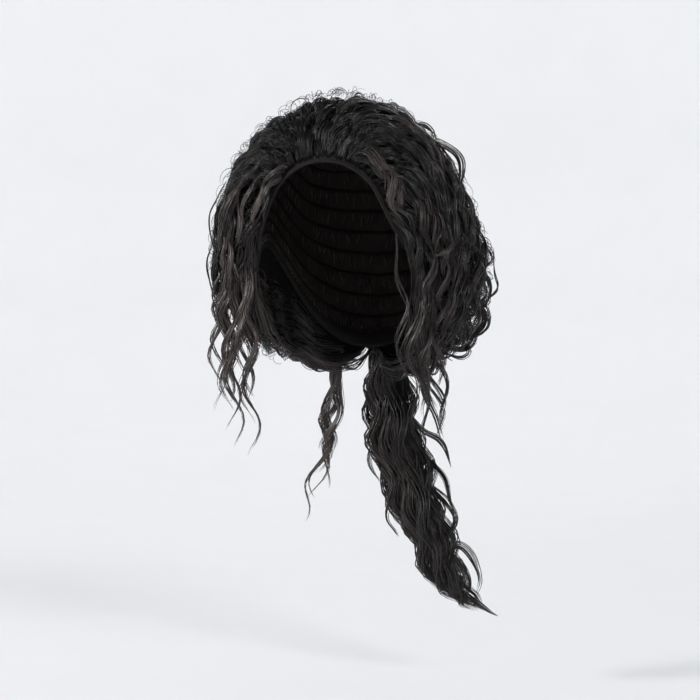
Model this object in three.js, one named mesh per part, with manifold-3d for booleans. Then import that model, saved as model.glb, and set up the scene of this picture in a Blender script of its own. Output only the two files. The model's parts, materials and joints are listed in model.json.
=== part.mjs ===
// A long curly wig: a net cap, five sections of swept-back hair sewn on it, a hair tie at the nape
// and a long ponytail. Millimetres, +Z up, the face looks along -Y and +X is the wearer's left.
// The origin is the highest point inside the cap, where the crown of the head sits.
import * as THREE from "three";
import { mergeVertices } from "three/addons/utils/BufferGeometryUtils.js";
import Module from "manifold-3d";

const wasm = await Module();
wasm.setup();

const { degToRad, lerp, smoothstep } = THREE.MathUtils;

// Head that the cap is cut to: an ellipsoid whose lower half is longer than its upper half
const HEAD_HALF_WIDTH = 74;
const HEAD_HALF_LENGTH = 95;
const HEAD_ABOVE = 95;
const HEAD_BELOW = 120;
const HEAD_CENTRE = new THREE.Vector3(0, 0, -HEAD_ABOVE);

// Net cap
const CAP_WALL = 1.6;
const CAP_COLUMNS = 28;
const CAP_ROWS = 7;
const PIECE_GAP = 0.35;

// Rim of the cap: turn from the middle of the forehead in degrees, and drop below the crown
const CAP_RIM = [
  { turn: 0, drop: 43 },
  { turn: 10, drop: 45 },
  { turn: 19, drop: 52 },
  { turn: 26, drop: 62 },
  { turn: 34, drop: 86 },
  { turn: 46, drop: 108 },
  { turn: 59, drop: 122 },
  { turn: 73, drop: 124 },
  { turn: 88, drop: 107 },
  { turn: 104, drop: 103 },
  { turn: 122, drop: 124 },
  { turn: 142, drop: 160 },
  { turn: 160, drop: 177 },
  { turn: 180, drop: 182 },
];

// Hair is combed round an axis from the face to the tie: it starts on a cone round the face end
// of the axis and is gathered at the other end. Angles in degrees.
const COMB_CENTRE = new THREE.Vector3(0, 0, -142);
const COMB_DIP = 16;
const HAIRLINE_CONE = 35.5;
const TIE_CONE = 172;
const FOREHEAD_SPAN = 55;
const FAN_AT_SIDE = 1.3;
const FAN_AT_TIE = 0.88;
const SIDE_DRAG = 0.6;

// Height of the hair over the head. across: -1 at the right temple, 0 at the middle of the forehead
// and 1 at the left temple. The other columns are places along the hair, from its root at the
// hairline to the tie. The left side is fuller than the right.
const LIFT_PLACES = { root: 0, front: 0.15, crown: 0.4, back: 0.7, tie: 1 };
const HAIR_LIFT = [
  { across: -1.0, root: 3, front: 12, crown: 15, back: 14, tie: 12 },
  { across: -0.7, root: 3, front: 21, crown: 38, back: 36, tie: 13 },
  { across: -0.35, root: 3, front: 22, crown: 27, back: 32, tie: 14 },
  { across: 0.0, root: 3, front: 18, crown: 14, back: 25, tie: 14 },
  { across: 0.35, root: 3, front: 18, crown: 22, back: 31, tie: 14 },
  { across: 0.7, root: 3, front: 14, crown: 33, back: 39, tie: 13 },
  { across: 1.0, root: 3, front: 10, crown: 18, back: 24, tie: 12 },
];

// Sections of hair, from side to side of the forehead, and how many locks each is combed into
const SECTIONS = [
  { name: "right_front_hair", from: -1, to: -0.6, locks: 3 },
  { name: "right_side_hair", from: -0.6, to: -0.3, locks: 3 },
  { name: "crown_hair", from: -0.3, to: 0.3, locks: 5 },
  { name: "left_side_hair", from: 0.3, to: 0.6, locks: 3 },
  { name: "left_front_hair", from: 0.6, to: 1, locks: 3 },
];
const SECTION_GAP = 0.003;
const BACKING_SHARE = 0.72;
const BACKING_COLUMNS = 3;
const BACKING_ROWS = 6;
const BACKING_FLOOR = 0.8;
const CELL_FLOOR = -3;
const CELL_HEIGHT = 90;
const HAIR_ROOM = 1.2;

// Locks of the sections
const LOCK_STATIONS = 9;
const LOCK_OVERLAP = 1.3;
const LOCK_BED = 0.8;
const LOCK_THICKNESS = 0.32;
const WAVE_COUNT = 2.4;
const WAVE_ACROSS = 0.24;
const WAVE_LIFT = 0.07;
const WAVE_FULL_FROM = 0.2;
const WAVE_FULL_TO = 0.85;
const GOLDEN_TURN = 2 * Math.PI * 0.618;

// Loose locks hang free from the front sections, in waves. root, hang and tip are where a lock
// leaves the section, falls plumb and ends; girth is half its width.
const LOOSE_LOCKS = [
  { section: "right_front_hair", root: [-82, -38, -88], hang: [-99, -42], tip: [-95, -46, -246], girth: 5 },
  { section: "right_front_hair", root: [-82, -42, -98], hang: [-90, -48], tip: [-87, -50, -262], girth: 6 },
  { section: "right_front_hair", root: [-76, -48, -104], hang: [-79, -52], tip: [-76, -52, -258], girth: 6 },
  { section: "right_front_hair", root: [-68, -54, -110], hang: [-68, -56], tip: [-67, -52, -268], girth: 4 },
  { section: "right_front_hair", root: [-28, 56, -182], hang: [-36, 64], tip: [-57, 66, -330], girth: 6 },
  { section: "left_front_hair", root: [54, -66, -92], hang: [56, -58], tip: [66, -36, -256], girth: 5 },
  { section: "left_front_hair", root: [72, -46, -122], hang: [66, -52], tip: [72, -30, -262], girth: 7 },
  { section: "left_front_hair", root: [76, -40, -126], hang: [76, -42], tip: [78, -20, -246], girth: 5 },
];
const LOOSE_STATIONS = 10;
const LOOSE_WAVE_LENGTH = 64;
const LOOSE_WAVE = 5.5;
const LOOSE_WAVE_FLAT = 0.6;
const LOOSE_FALL = 70;
const LOOSE_DRIFT_FROM = 0.45;
const FLAT_LOCK = 0.7;
const ROOT_SHARE = 0.6;
const ROOT_PART = 0.3;
const TIP_SHARE = 0.15;
const TIP_FROM = 0.5;

// Hair tie and the root of the ponytail, along the comb axis from the cap
const ROOT_RADIUS = 12;
const ROOT_END = 30;
const TIE_LIFT = 22;
const TIE_CORD = 3;
const TIE_RADIUS = ROOT_RADIUS + TIE_CORD + PIECE_GAP;
const TIE_SIDES = 24;
const TIE_CORD_SIDES = 6;

// Ponytail: its middle line from the tie to the tip, and how far its locks spread from that line
const PONYTAIL = [
  { x: 0, y: 111, z: -174, spread: 5 },
  { x: 2, y: 118, z: -202, spread: 16 },
  { x: 7, y: 118, z: -246, spread: 24 },
  { x: 21, y: 114, z: -296, spread: 24 },
  { x: 40, y: 114, z: -344, spread: 20 },
  { x: 59, y: 120, z: -388, spread: 15 },
  { x: 82, y: 124, z: -410, spread: 8 },
];
// Its locks: bearing round the middle line in degrees, reach as a share of the spread, where along
// the tail the lock ends, and half its width. A flip throws the tip outwards.
const TAIL_LOCKS = [
  { bearing: 0, reach: 0, end: 1.0, girth: 20, flip: 0 },
  { bearing: 20, reach: 0.9, end: 0.6, girth: 11, flip: 12 },
  { bearing: 75, reach: 0.8, end: 0.88, girth: 12, flip: 4 },
  { bearing: 130, reach: 0.9, end: 0.84, girth: 12, flip: 0 },
  { bearing: 225, reach: 0.9, end: 0.94, girth: 13, flip: 0 },
  { bearing: 285, reach: 0.8, end: 0.95, girth: 13, flip: 0 },
  { bearing: 335, reach: 0.9, end: 0.8, girth: 11, flip: 8 },
];
const TAIL_STATIONS = 10;
const TAIL_WAVES = 3.2;
const TAIL_WAVE = 4.5;
const TAIL_WAVE_FROM = 0.05;
const TAIL_WAVE_FULL = 0.3;
const TAIL_FLAT = 0.6;
const TAIL_FLIP_FROM = 0.75;

const LOCK_SIDES = 4;
const SURFACE_TOLERANCE = 0.15;

// Materials
const HAIR_FIBRE = { color: 0x171616, roughness: 0.45, metalness: 0 };
const CAP_NET = { color: 0x14110f, roughness: 0.9, metalness: 0 };
const TIE_ELASTIC = { color: 0x0d0d0e, roughness: 0.8, metalness: 0 };

const COMB_AXIS = new THREE.Vector3(0, Math.cos(degToRad(COMB_DIP)), -Math.sin(degToRad(COMB_DIP)));
const COMB_UP = new THREE.Vector3(0, Math.sin(degToRad(COMB_DIP)), Math.cos(degToRad(COMB_DIP)));
const COMB_SIDE = new THREE.Vector3(1, 0, 0);

// A smooth curve through a table's column, read at any place between its first and last row
function columnReader(places, values) {
  const curve = new THREE.CubicInterpolant(places, values, 1, new Float64Array(1));
  const first = places[0];
  const last = places[places.length - 1];
  return (place) => curve.evaluate(THREE.MathUtils.clamp(place, first, last))[0];
}

const rimDrop = columnReader(
  CAP_RIM.map((row) => row.turn),
  CAP_RIM.map((row) => row.drop),
);
const liftColumns = Object.keys(LIFT_PLACES).map((column) =>
  columnReader(
    HAIR_LIFT.map((row) => row.across),
    HAIR_LIFT.map((row) => row[column]),
  ),
);

// How high the hair stands over the head, across the forehead and along its length
function hairLift(across, along) {
  const heights = liftColumns.map((read) => read(across));
  return columnReader(Object.values(LIFT_PLACES), heights)(along);
}

// Distance from a point inside the head to its surface, along a unit direction
function reachHead(from, direction) {
  const start = from.clone().sub(HEAD_CENTRE);
  const reachHalf = (height) => {
    const axes = new THREE.Vector3(HEAD_HALF_WIDTH, HEAD_HALF_LENGTH, height);
    const p = start.clone().divide(axes);
    const d = direction.clone().divide(axes);
    const a = d.lengthSq();
    const b = p.dot(d);
    return (-b + Math.sqrt(b * b - a * (p.lengthSq() - 1))) / a;
  };
  const low = reachHalf(HEAD_BELOW);
  const isLow = start.z + low * direction.z < 0;
  return isLow ? low : reachHalf(HEAD_ABOVE);
}

// A point over the head on the comb: across the forehead, along the hair, and a height over the head
function combPoint(across, along, lift) {
  const fan = 1 + FAN_AT_SIDE * smoothstep(along, 0, 0.5) + FAN_AT_TIE * smoothstep(along, 0.7, 1);
  const roll = degToRad(FOREHEAD_SPAN * across * fan);
  const drag = 1 + SIDE_DRAG * Math.min(1, Math.abs(across));
  const cone = degToRad(lerp(HAIRLINE_CONE, TIE_CONE, Math.pow(Math.max(0, along), drag)));
  const direction = COMB_AXIS.clone().multiplyScalar(-Math.cos(cone));
  direction.addScaledVector(COMB_UP, Math.sin(cone) * Math.cos(roll));
  direction.addScaledVector(COMB_SIDE, Math.sin(cone) * Math.sin(roll));
  return COMB_CENTRE.clone().addScaledVector(direction, reachHead(COMB_CENTRE, direction) + lift);
}

// A closed solid from vertices and triangles, turned the right way out
function solidOf(points, triangles) {
  const vertProperties = new Float32Array(points.flatMap((p) => [p.x, p.y, p.z]));
  const triVerts = new Uint32Array(triangles);
  const solid = new wasm.Manifold(new wasm.Mesh({ numProp: 3, vertProperties, triVerts }));
  if (solid.volume() >= 0) {
    return solid;
  }
  return new wasm.Manifold(new wasm.Mesh({ numProp: 3, vertProperties, triVerts: triVerts.reverse() }));
}

// A solid from a closed three.js geometry
function solidOfGeometry(geometry) {
  geometry.deleteAttribute("normal");
  geometry.deleteAttribute("uv");
  const merged = mergeVertices(geometry);
  const position = merged.attributes.position;
  const points = [];
  for (let i = 0; i < position.count; i++) {
    points.push(new THREE.Vector3().fromBufferAttribute(position, i));
  }
  return solidOf(points, Array.from(merged.index.array));
}

// A closed body lofted through rings that each have the same even number of points
function loft(rings) {
  const count = rings[0].length;
  const triangles = [];
  for (let i = 0; i < rings.length - 1; i++) {
    for (let j = 0; j < count; j++) {
      const here = i * count + j;
      const next = i * count + ((j + 1) % count);
      triangles.push(here, next, next + count);
      triangles.push(here, next + count, here + count);
    }
  }
  const last = (rings.length - 1) * count;
  for (let j = 0; j < count / 2 - 1; j++) {
    const mirror = count - 1 - j;
    triangles.push(j, mirror, mirror - 1);
    triangles.push(j, mirror - 1, j + 1);
    triangles.push(last + j, last + mirror - 1, last + mirror);
    triangles.push(last + j, last + j + 1, last + mirror - 1);
  }
  return solidOf(rings.flat(), triangles);
}

// One ring of a lock: a flat round section, sized along its own width and thickness directions
function lockRing(centre, widthWay, thickWay, halfWidth, halfThickness) {
  const ring = [];
  for (let k = 0; k < LOCK_SIDES; k++) {
    const angle = (2 * Math.PI * k) / LOCK_SIDES;
    const point = centre.clone();
    point.addScaledVector(widthWay, halfWidth * Math.cos(angle));
    point.addScaledVector(thickWay, halfThickness * Math.sin(angle));
    ring.push(point);
  }
  return ring;
}

// The cap's shell point: a turn from the forehead, a share of the way to the rim, a height over the head
function capPoint(turn, share, lift) {
  const turned = Math.min(turn, 360 - turn);
  const outward = new THREE.Vector3(Math.sin(degToRad(turn)), -Math.cos(degToRad(turn)), 0);
  const rimLevel = HEAD_ABOVE - rimDrop(turned);
  const height = rimLevel > 0 ? HEAD_ABOVE : HEAD_BELOW;
  const slim = Math.sqrt(1 - (rimLevel / height) ** 2);
  const rimReach = slim / Math.hypot(outward.x / HEAD_HALF_WIDTH, outward.y / HEAD_HALF_LENGTH);
  const tilt = share * Math.atan2(rimReach, rimLevel);
  const direction = outward.multiplyScalar(Math.sin(tilt));
  direction.z = Math.cos(tilt);
  return HEAD_CENTRE.clone().addScaledVector(direction, reachHead(HEAD_CENTRE, direction) + lift);
}

// Grid of one face of the cap, crown first, at a height over the head
function capFace(lift) {
  const points = [capPoint(0, 0, lift)];
  for (let row = 1; row <= CAP_ROWS; row++) {
    for (let column = 0; column < CAP_COLUMNS; column++) {
      points.push(capPoint((360 * column) / CAP_COLUMNS, row / CAP_ROWS, lift));
    }
  }
  return points;
}

// Triangles of that grid, facing out, with the first point at an offset in the whole list
function capTriangles(offset) {
  const triangles = [];
  for (let column = 0; column < CAP_COLUMNS; column++) {
    const next = (column + 1) % CAP_COLUMNS;
    triangles.push(offset, offset + 1 + column, offset + 1 + next);
    for (let row = 0; row < CAP_ROWS - 1; row++) {
      const here = offset + 1 + row * CAP_COLUMNS;
      const below = here + CAP_COLUMNS;
      triangles.push(here + column, below + column, below + next);
      triangles.push(here + column, below + next, here + next);
    }
  }
  return triangles;
}

const RIM_START = 1 + (CAP_ROWS - 1) * CAP_COLUMNS;

// The cap: an outer and an inner face joined along the rim
function makeCap() {
  const outer = capFace(CAP_WALL);
  const inner = capFace(0);
  const triangles = capTriangles(0);
  const inside = capTriangles(outer.length);
  for (let i = 0; i < inside.length; i += 3) {
    triangles.push(inside[i], inside[i + 2], inside[i + 1]);
  }
  for (let column = 0; column < CAP_COLUMNS; column++) {
    const here = RIM_START + column;
    const next = RIM_START + ((column + 1) % CAP_COLUMNS);
    triangles.push(here, here + outer.length, next + outer.length);
    triangles.push(here, next + outer.length, next);
  }
  return solidOf([...outer, ...inner], triangles);
}

// The room that hair leaves for the cap: the cap's outer face with a gap, closed at the head's centre
function makeCapRoom() {
  const outer = capFace(CAP_WALL + PIECE_GAP);
  const centre = outer.length;
  const triangles = capTriangles(0);
  for (let column = 0; column < CAP_COLUMNS; column++) {
    triangles.push(RIM_START + column, centre, RIM_START + ((column + 1) % CAP_COLUMNS));
  }
  return solidOf([...outer, HEAD_CENTRE], triangles);
}

// A slab of hair over part of the comb, between two heights given as functions of the place
function combSlab(section, trim, columns, rows, innerLift, outerLift) {
  const rings = [];
  for (let row = 0; row <= rows; row++) {
    const along = row / rows;
    const outer = [];
    const inner = [];
    for (let column = 0; column <= columns; column++) {
      const across = lerp(section.from + trim, section.to - trim, column / columns);
      outer.push(combPoint(across, along, outerLift(across, along)));
      inner.unshift(combPoint(across, along, innerLift(across, along)));
    }
    rings.push([...outer, ...inner]);
  }
  return loft(rings);
}

// One lock of a section, combed along it in waves and bedded in the backing
function sectionLock(section, index) {
  const step = (section.to - section.from) / section.locks;
  const middle = section.from + step * (index + 0.5);
  const phase = GOLDEN_TURN * (index + 1 + 10 * section.from);
  const rings = [];
  for (let station = 0; station <= LOCK_STATIONS; station++) {
    const along = station / LOCK_STATIONS;
    const wave = 2 * Math.PI * WAVE_COUNT * along + phase;
    const swing = smoothstep(along, 0, WAVE_FULL_FROM) * (1 - smoothstep(along, WAVE_FULL_TO, 1));
    const across = middle + step * WAVE_ACROSS * swing * Math.sin(wave);
    const height = hairLift(across, along);
    const lift = height * (LOCK_BED + WAVE_LIFT * swing * Math.cos(wave));
    const centre = combPoint(across, along, lift);
    const leftEdge = combPoint(across + step / 2, along, lift);
    const rightEdge = combPoint(across - step / 2, along, lift);
    const widthWay = leftEdge.sub(rightEdge);
    const halfWidth = (LOCK_OVERLAP * widthWay.length()) / 2;
    const thickWay = centre.clone().sub(COMB_CENTRE).normalize();
    rings.push(lockRing(centre, widthWay.normalize(), thickWay, halfWidth, LOCK_THICKNESS * height));
  }
  return loft(rings);
}

// A lock lofted along a list of points, wide across a given way, that narrows to its tip
function hangingLock(points, acrossWay, halfWidth) {
  const line = new THREE.CatmullRomCurve3(points);
  const last = points.length - 1;
  const rings = points.map((point, i) => {
    const tangent = line.getTangent(i / last);
    const thickWay = tangent.clone().cross(acrossWay).normalize();
    const widthWay = thickWay.clone().cross(tangent).normalize();
    const swell = lerp(ROOT_SHARE, 1, smoothstep(i / last, 0, ROOT_PART));
    const taper = swell * lerp(1, TIP_SHARE, smoothstep(i / last, TIP_FROM, 1));
    return lockRing(point, widthWay, thickWay, halfWidth * taper, halfWidth * FLAT_LOCK * taper);
  });
  return loft(rings);
}

// A loose lock: out of its section, then down in waves to its tip
function looseLock(row, index) {
  const [rootX, rootY, rootZ] = row.root;
  const [tipX, tipY, tipZ] = row.tip;
  const points = [];
  for (let station = 0; station <= LOOSE_STATIONS; station++) {
    const share = station / LOOSE_STATIONS;
    const z = lerp(rootZ, tipZ, share);
    const fallen = smoothstep(rootZ - z, 0, LOOSE_FALL);
    const drift = smoothstep(share, LOOSE_DRIFT_FROM, 1);
    const wave = (2 * Math.PI * (rootZ - z)) / LOOSE_WAVE_LENGTH + GOLDEN_TURN * index;
    const sway = LOOSE_WAVE * fallen;
    const x = lerp(lerp(rootX, row.hang[0], fallen), tipX, drift) + sway * Math.sin(wave);
    const y = lerp(lerp(rootY, row.hang[1], fallen), tipY, drift) + sway * LOOSE_WAVE_FLAT * Math.cos(wave);
    points.push(new THREE.Vector3(x, y, z));
  }
  return hangingLock(points, COMB_SIDE, row.girth);
}

// A section of hair: backing and locks within its own share of the comb, with its loose locks
function makeSection(section, capRoom, tieRoom) {
  const cell = combSlab(
    section,
    SECTION_GAP,
    BACKING_COLUMNS,
    LOCK_STATIONS,
    () => CELL_FLOOR,
    () => CELL_HEIGHT,
  );
  let hair = combSlab(
    section,
    0,
    BACKING_COLUMNS,
    BACKING_ROWS,
    () => BACKING_FLOOR,
    (across, along) => BACKING_SHARE * hairLift(across, along),
  );
  for (let index = 0; index < section.locks; index++) {
    hair = hair.add(sectionLock(section, index));
  }
  hair = hair.intersect(cell);
  LOOSE_LOCKS.forEach((row, index) => {
    if (row.section === section.name) {
      hair = hair.add(looseLock(row, index));
    }
  });
  return hair.subtract(capRoom).subtract(tieRoom);
}

// Turns a solid made along +Y about the origin so that it stands on the cap along the comb axis
function onCombAxis(geometry, lift) {
  const seat = combAxisPoint(lift);
  const turn = new THREE.Quaternion().setFromUnitVectors(new THREE.Vector3(0, 1, 0), COMB_AXIS);
  return geometry.applyQuaternion(turn).translate(seat.x, seat.y, seat.z);
}

// A point on the comb axis at the tie end, at a height over the head
function combAxisPoint(lift) {
  return COMB_CENTRE.clone().addScaledVector(COMB_AXIS, reachHead(COMB_CENTRE, COMB_AXIS) + lift);
}

// A round plug along the comb axis between two heights over the head
function axisPlug(radius, from, to) {
  const plug = new THREE.CylinderGeometry(radius, radius, to - from, TIE_SIDES);
  return solidOfGeometry(onCombAxis(plug, (from + to) / 2));
}

// The hair tie: a round elastic ring on the root of the ponytail, or the room that it needs
function makeTie(allowance) {
  const profile = [];
  const cord = TIE_CORD + allowance;
  for (let k = 0; k <= TIE_CORD_SIDES; k++) {
    const angle = (2 * Math.PI * k) / TIE_CORD_SIDES;
    profile.push(new THREE.Vector2(TIE_RADIUS + cord * Math.cos(angle), cord * Math.sin(angle)));
  }
  return solidOfGeometry(onCombAxis(new THREE.LatheGeometry(profile, TIE_SIDES), TIE_LIFT));
}

const tailLine = new THREE.CatmullRomCurve3(PONYTAIL.map((row) => new THREE.Vector3(row.x, row.y, row.z)));
const tailSpread = columnReader(
  PONYTAIL.map((row, i) => i / (PONYTAIL.length - 1)),
  PONYTAIL.map((row) => row.spread),
);

// One lock of the ponytail, waving round the tail's middle line
function tailLock(row, index) {
  const bearing = degToRad(row.bearing);
  const points = [];
  for (let station = 0; station <= TAIL_STATIONS; station++) {
    const place = (station / TAIL_STATIONS) * row.end;
    const spread = tailSpread(place);
    const swing = smoothstep(place, TAIL_WAVE_FROM, TAIL_WAVE_FULL);
    const wave = 2 * Math.PI * TAIL_WAVES * place + GOLDEN_TURN * index;
    const reach = spread * row.reach + TAIL_WAVE * swing * Math.sin(wave);
    const flipped = row.flip * smoothstep(station / TAIL_STATIONS, TAIL_FLIP_FROM, 1);
    const point = tailLine.getPoint(place);
    point.x += (reach + flipped) * Math.cos(bearing);
    point.y += (reach + flipped) * TAIL_FLAT * Math.sin(bearing) + TAIL_WAVE * swing * Math.cos(wave);
    points.push(point);
  }
  return hangingLock(points, COMB_SIDE, row.girth);
}

// The ponytail: its bound root and its locks, clear of the hair and the tie
function makePonytail(capRoom) {
  let tail = axisPlug(ROOT_RADIUS, CAP_WALL + PIECE_GAP, ROOT_END);
  TAIL_LOCKS.forEach((row, index) => {
    tail = tail.add(tailLock(row, index));
  });
  const whole = { from: -1, to: 1 };
  const hairTop = (across, along) => HAIR_ROOM * hairLift(across, along) + PIECE_GAP;
  const hairRoom = combSlab(whole, 0, 5 * BACKING_COLUMNS, LOCK_STATIONS, () => 0, hairTop);
  return tail.subtract(hairRoom).subtract(capRoom).subtract(makeTie(PIECE_GAP));
}

// The largest skin of a solid, without the pockets and scraps that crossing locks leave
function largestSkin(solid) {
  const skins = solid.simplify(SURFACE_TOLERANCE).decompose();
  return skins.reduce((best, skin) => (skin.volume() > best.volume() ? skin : best));
}

// A named mesh from a solid, with its finish
function meshOf(name, solid, finish) {
  const { numProp, numVert, vertProperties, triVerts } = largestSkin(solid).getMesh();
  const geometry = new THREE.BufferGeometry();
  const positions = new Float32Array(numVert * 3);
  for (let i = 0; i < numVert; i++) {
    positions.set(vertProperties.subarray(i * numProp, i * numProp + 3), i * 3);
  }
  geometry.setAttribute("position", new THREE.BufferAttribute(positions, 3));
  geometry.setIndex(new THREE.BufferAttribute(triVerts, 1));
  geometry.computeVertexNormals();
  const mesh = new THREE.Mesh(geometry, new THREE.MeshStandardMaterial(finish));
  mesh.name = name;
  return mesh;
}

const capRoom = makeCapRoom();
const rootRoom = axisPlug(ROOT_RADIUS + PIECE_GAP, 0, CELL_HEIGHT);
const ringRoom = axisPlug(TIE_RADIUS + TIE_CORD + PIECE_GAP, TIE_LIFT - TIE_CORD - PIECE_GAP, CELL_HEIGHT);
const tieRoom = rootRoom.add(ringRoom);

const wig = new THREE.Group();
wig.name = "wig";
wig.add(meshOf("cap", makeCap(), CAP_NET));
SECTIONS.forEach((section) => {
  wig.add(meshOf(section.name, makeSection(section, capRoom, tieRoom), HAIR_FIBRE));
});
wig.add(meshOf("hair_tie", makeTie(0), TIE_ELASTIC));
wig.add(meshOf("ponytail", makePonytail(capRoom), HAIR_FIBRE));

export default wig;
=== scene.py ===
# %% [markdown]
# # A long curly wig, strand by strand
# The wig is a net cap with hair sewn on it. The hair is swept back from the forehead, gathered by
# an elastic tie behind the nape and left to fall as a ponytail, with loose locks beside the face.
# The construction is loaded first and never moved. Each soft solid is then replaced by a piece that
# holds the same space: thousands of fine fibres, because only separate fibres give the broken
# outline and the streaky shine of real hair. Sizes are in millimetres until a mesh is written.

# %% Load the frame
import json

import bpy
import numpy as np
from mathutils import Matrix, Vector

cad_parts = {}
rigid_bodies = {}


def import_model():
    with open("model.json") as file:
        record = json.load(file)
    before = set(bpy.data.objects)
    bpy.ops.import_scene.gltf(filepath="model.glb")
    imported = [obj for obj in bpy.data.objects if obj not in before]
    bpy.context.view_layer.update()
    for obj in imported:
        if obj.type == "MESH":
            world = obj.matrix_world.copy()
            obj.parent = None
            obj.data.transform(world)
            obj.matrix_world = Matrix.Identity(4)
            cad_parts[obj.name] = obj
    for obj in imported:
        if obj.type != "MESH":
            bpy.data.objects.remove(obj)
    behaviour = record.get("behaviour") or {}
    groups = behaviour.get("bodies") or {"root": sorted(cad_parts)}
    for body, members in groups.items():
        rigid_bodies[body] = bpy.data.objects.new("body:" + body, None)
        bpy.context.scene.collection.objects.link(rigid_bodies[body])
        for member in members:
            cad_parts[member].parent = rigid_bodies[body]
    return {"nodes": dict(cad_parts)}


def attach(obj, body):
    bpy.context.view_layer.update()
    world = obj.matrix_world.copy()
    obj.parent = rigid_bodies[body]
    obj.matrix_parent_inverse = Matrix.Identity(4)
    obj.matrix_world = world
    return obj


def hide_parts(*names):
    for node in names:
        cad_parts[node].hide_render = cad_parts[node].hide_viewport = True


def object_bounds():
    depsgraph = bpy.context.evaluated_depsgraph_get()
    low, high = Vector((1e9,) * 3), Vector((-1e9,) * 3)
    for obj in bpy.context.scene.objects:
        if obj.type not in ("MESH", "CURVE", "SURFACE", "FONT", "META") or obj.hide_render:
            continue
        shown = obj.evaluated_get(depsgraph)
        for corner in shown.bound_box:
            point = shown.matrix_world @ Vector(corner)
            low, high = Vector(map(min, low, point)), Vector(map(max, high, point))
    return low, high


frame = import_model()
cad_low, cad_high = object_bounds()
MM = 0.001
print("nodes:", ", ".join(sorted(frame["nodes"])))
print("frame box in mm:", [round(side / MM) for side in cad_high - cad_low])

# %% [markdown]
# ## Camera
# The wig is seen from the front, a little from its wearer's left, with a long lens at eye level.
# A long lens keeps the two sides of the hair at the same scale. The aim is the middle of the wig's
# height, so the ponytail and the frizz on top both have air around them.

# %% Camera
VIEW_TURN = np.radians(15)
VIEW_DISTANCE = 1600
AIM_HEIGHT = -186
SENSOR = 36
FRAME_PIXELS = 700
FOCAL_PIXELS = 2000

camera = bpy.data.objects.new("camera", bpy.data.cameras.new("camera"))
bpy.context.collection.objects.link(camera)
camera.data.sensor_width = SENSOR
camera.data.lens = SENSOR * FOCAL_PIXELS / FRAME_PIXELS
camera.location = (
    VIEW_DISTANCE * MM * np.sin(VIEW_TURN),
    -VIEW_DISTANCE * MM * np.cos(VIEW_TURN),
    AIM_HEIGHT * MM,
)
camera.rotation_euler = (np.pi / 2, 0, VIEW_TURN)
bpy.context.scene.camera = camera
bpy.context.scene.view_settings.view_transform = "Standard"
print("lens in mm:", round(camera.data.lens, 1))

# %% [markdown]
# ## Colours and nodes
# Every colour below is written as a screen colour, the kind a colour picker shows. A shader needs
# linear light, so one function converts them. A material could be wired by hand in the node editor,
# but a script can be read and changed later, so a second function adds one node with its settings
# and links, and all the materials are built with it.


# %% Colour and node helpers
def linear(hex_colour):
    """A screen colour such as "#1a1918" as linear red, green, blue and alpha."""
    screen = np.array([int(hex_colour[i : i + 2], 16) for i in (1, 3, 5)]) / 255
    # The numbers of the curve are those of the sRGB standard.
    light = np.where(screen <= 0.04045, screen / 12.92, ((screen + 0.055) / 1.055) ** 2.4)
    return (*light.tolist(), 1.0)


def add_node(tree, kind, settings=None, **inputs):
    """Adds a node. Each input is a value, or an output socket of an earlier node to link."""
    node = tree.nodes.new(kind)
    for name, value in (settings or {}).items():
        setattr(node, name, value)
    for name, value in inputs.items():
        is_number = name[0] == "i" and name[1:].isdigit()
        socket = node.inputs[int(name[1:]) if is_number else name.replace("_", " ")]
        if isinstance(value, bpy.types.NodeSocket):
            tree.links.new(value, socket)
        else:
            socket.default_value = value
    return node


def new_material(name):
    """An empty node material and its tree."""
    material = bpy.data.materials.new(name)
    material.use_nodes = True
    material.node_tree.nodes.clear()
    return material, material.node_tree


print("black fibre in linear light:", [round(c, 4) for c in linear("#1a1918")[:3]])

# %% [markdown]
# ## Background paper
# A photographer would use a roll of matt background paper, pressed from bleached pulp. It gives the
# eye an even pale ground without a reflection. The pulp's own fibres are far too fine to show, so
# the noise stands for the cloudy unevenness of a sheet, and its size is measured on the sheet.

# %% Background paper
PAPER_MOTTLE = 120
PAPER_DETAIL = 3.0
PAPER_SHADES = ("#f0f1f3", "#f3f4f6")
PAPER_ROUGHNESS = 0.9

paper, paper_tree = new_material("matt_pulp_paper")
paper_place = add_node(paper_tree, "ShaderNodeTexCoord")
mottle = add_node(
    paper_tree,
    "ShaderNodeTexNoise",
    Vector=paper_place.outputs["Object"],
    Scale=1 / (PAPER_MOTTLE * MM),
    Detail=PAPER_DETAIL,
)
paper_colour = add_node(paper_tree, "ShaderNodeValToRGB", Fac=mottle.outputs["Fac"])
for stop, shade in zip(paper_colour.color_ramp.elements, PAPER_SHADES):
    stop.color = linear(shade)
paper_shader = add_node(
    paper_tree,
    "ShaderNodeBsdfPrincipled",
    Base_Color=paper_colour.outputs["Color"],
    Roughness=PAPER_ROUGHNESS,
)
add_node(paper_tree, "ShaderNodeOutputMaterial", Surface=paper_shader.outputs["BSDF"])
print("paper mottle in mm:", PAPER_MOTTLE)

# %% [markdown]
# ## Paper sweep
# A sheet with one bent edge would do for a single view. Here the sweep goes all the way round as a
# wide paper bowl, turned from a short profile in metres, so that the background is the same from
# every side.

# %% Paper sweep
SWEEP = [
    {"radius": 0.02, "height": 0.0},
    {"radius": 0.8, "height": 0.0},
    {"radius": 1.6, "height": 0.0},
    {"radius": 2.2, "height": 0.04},
    {"radius": 2.7, "height": 0.17},
    {"radius": 3.1, "height": 0.4},
    {"radius": 3.4, "height": 0.75},
    {"radius": 3.6, "height": 1.5},
]
SWEEP_SIDES = 96
FLOOR_DROP = 60
FLOOR_HEIGHT = cad_low.z - FLOOR_DROP * MM

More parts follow.
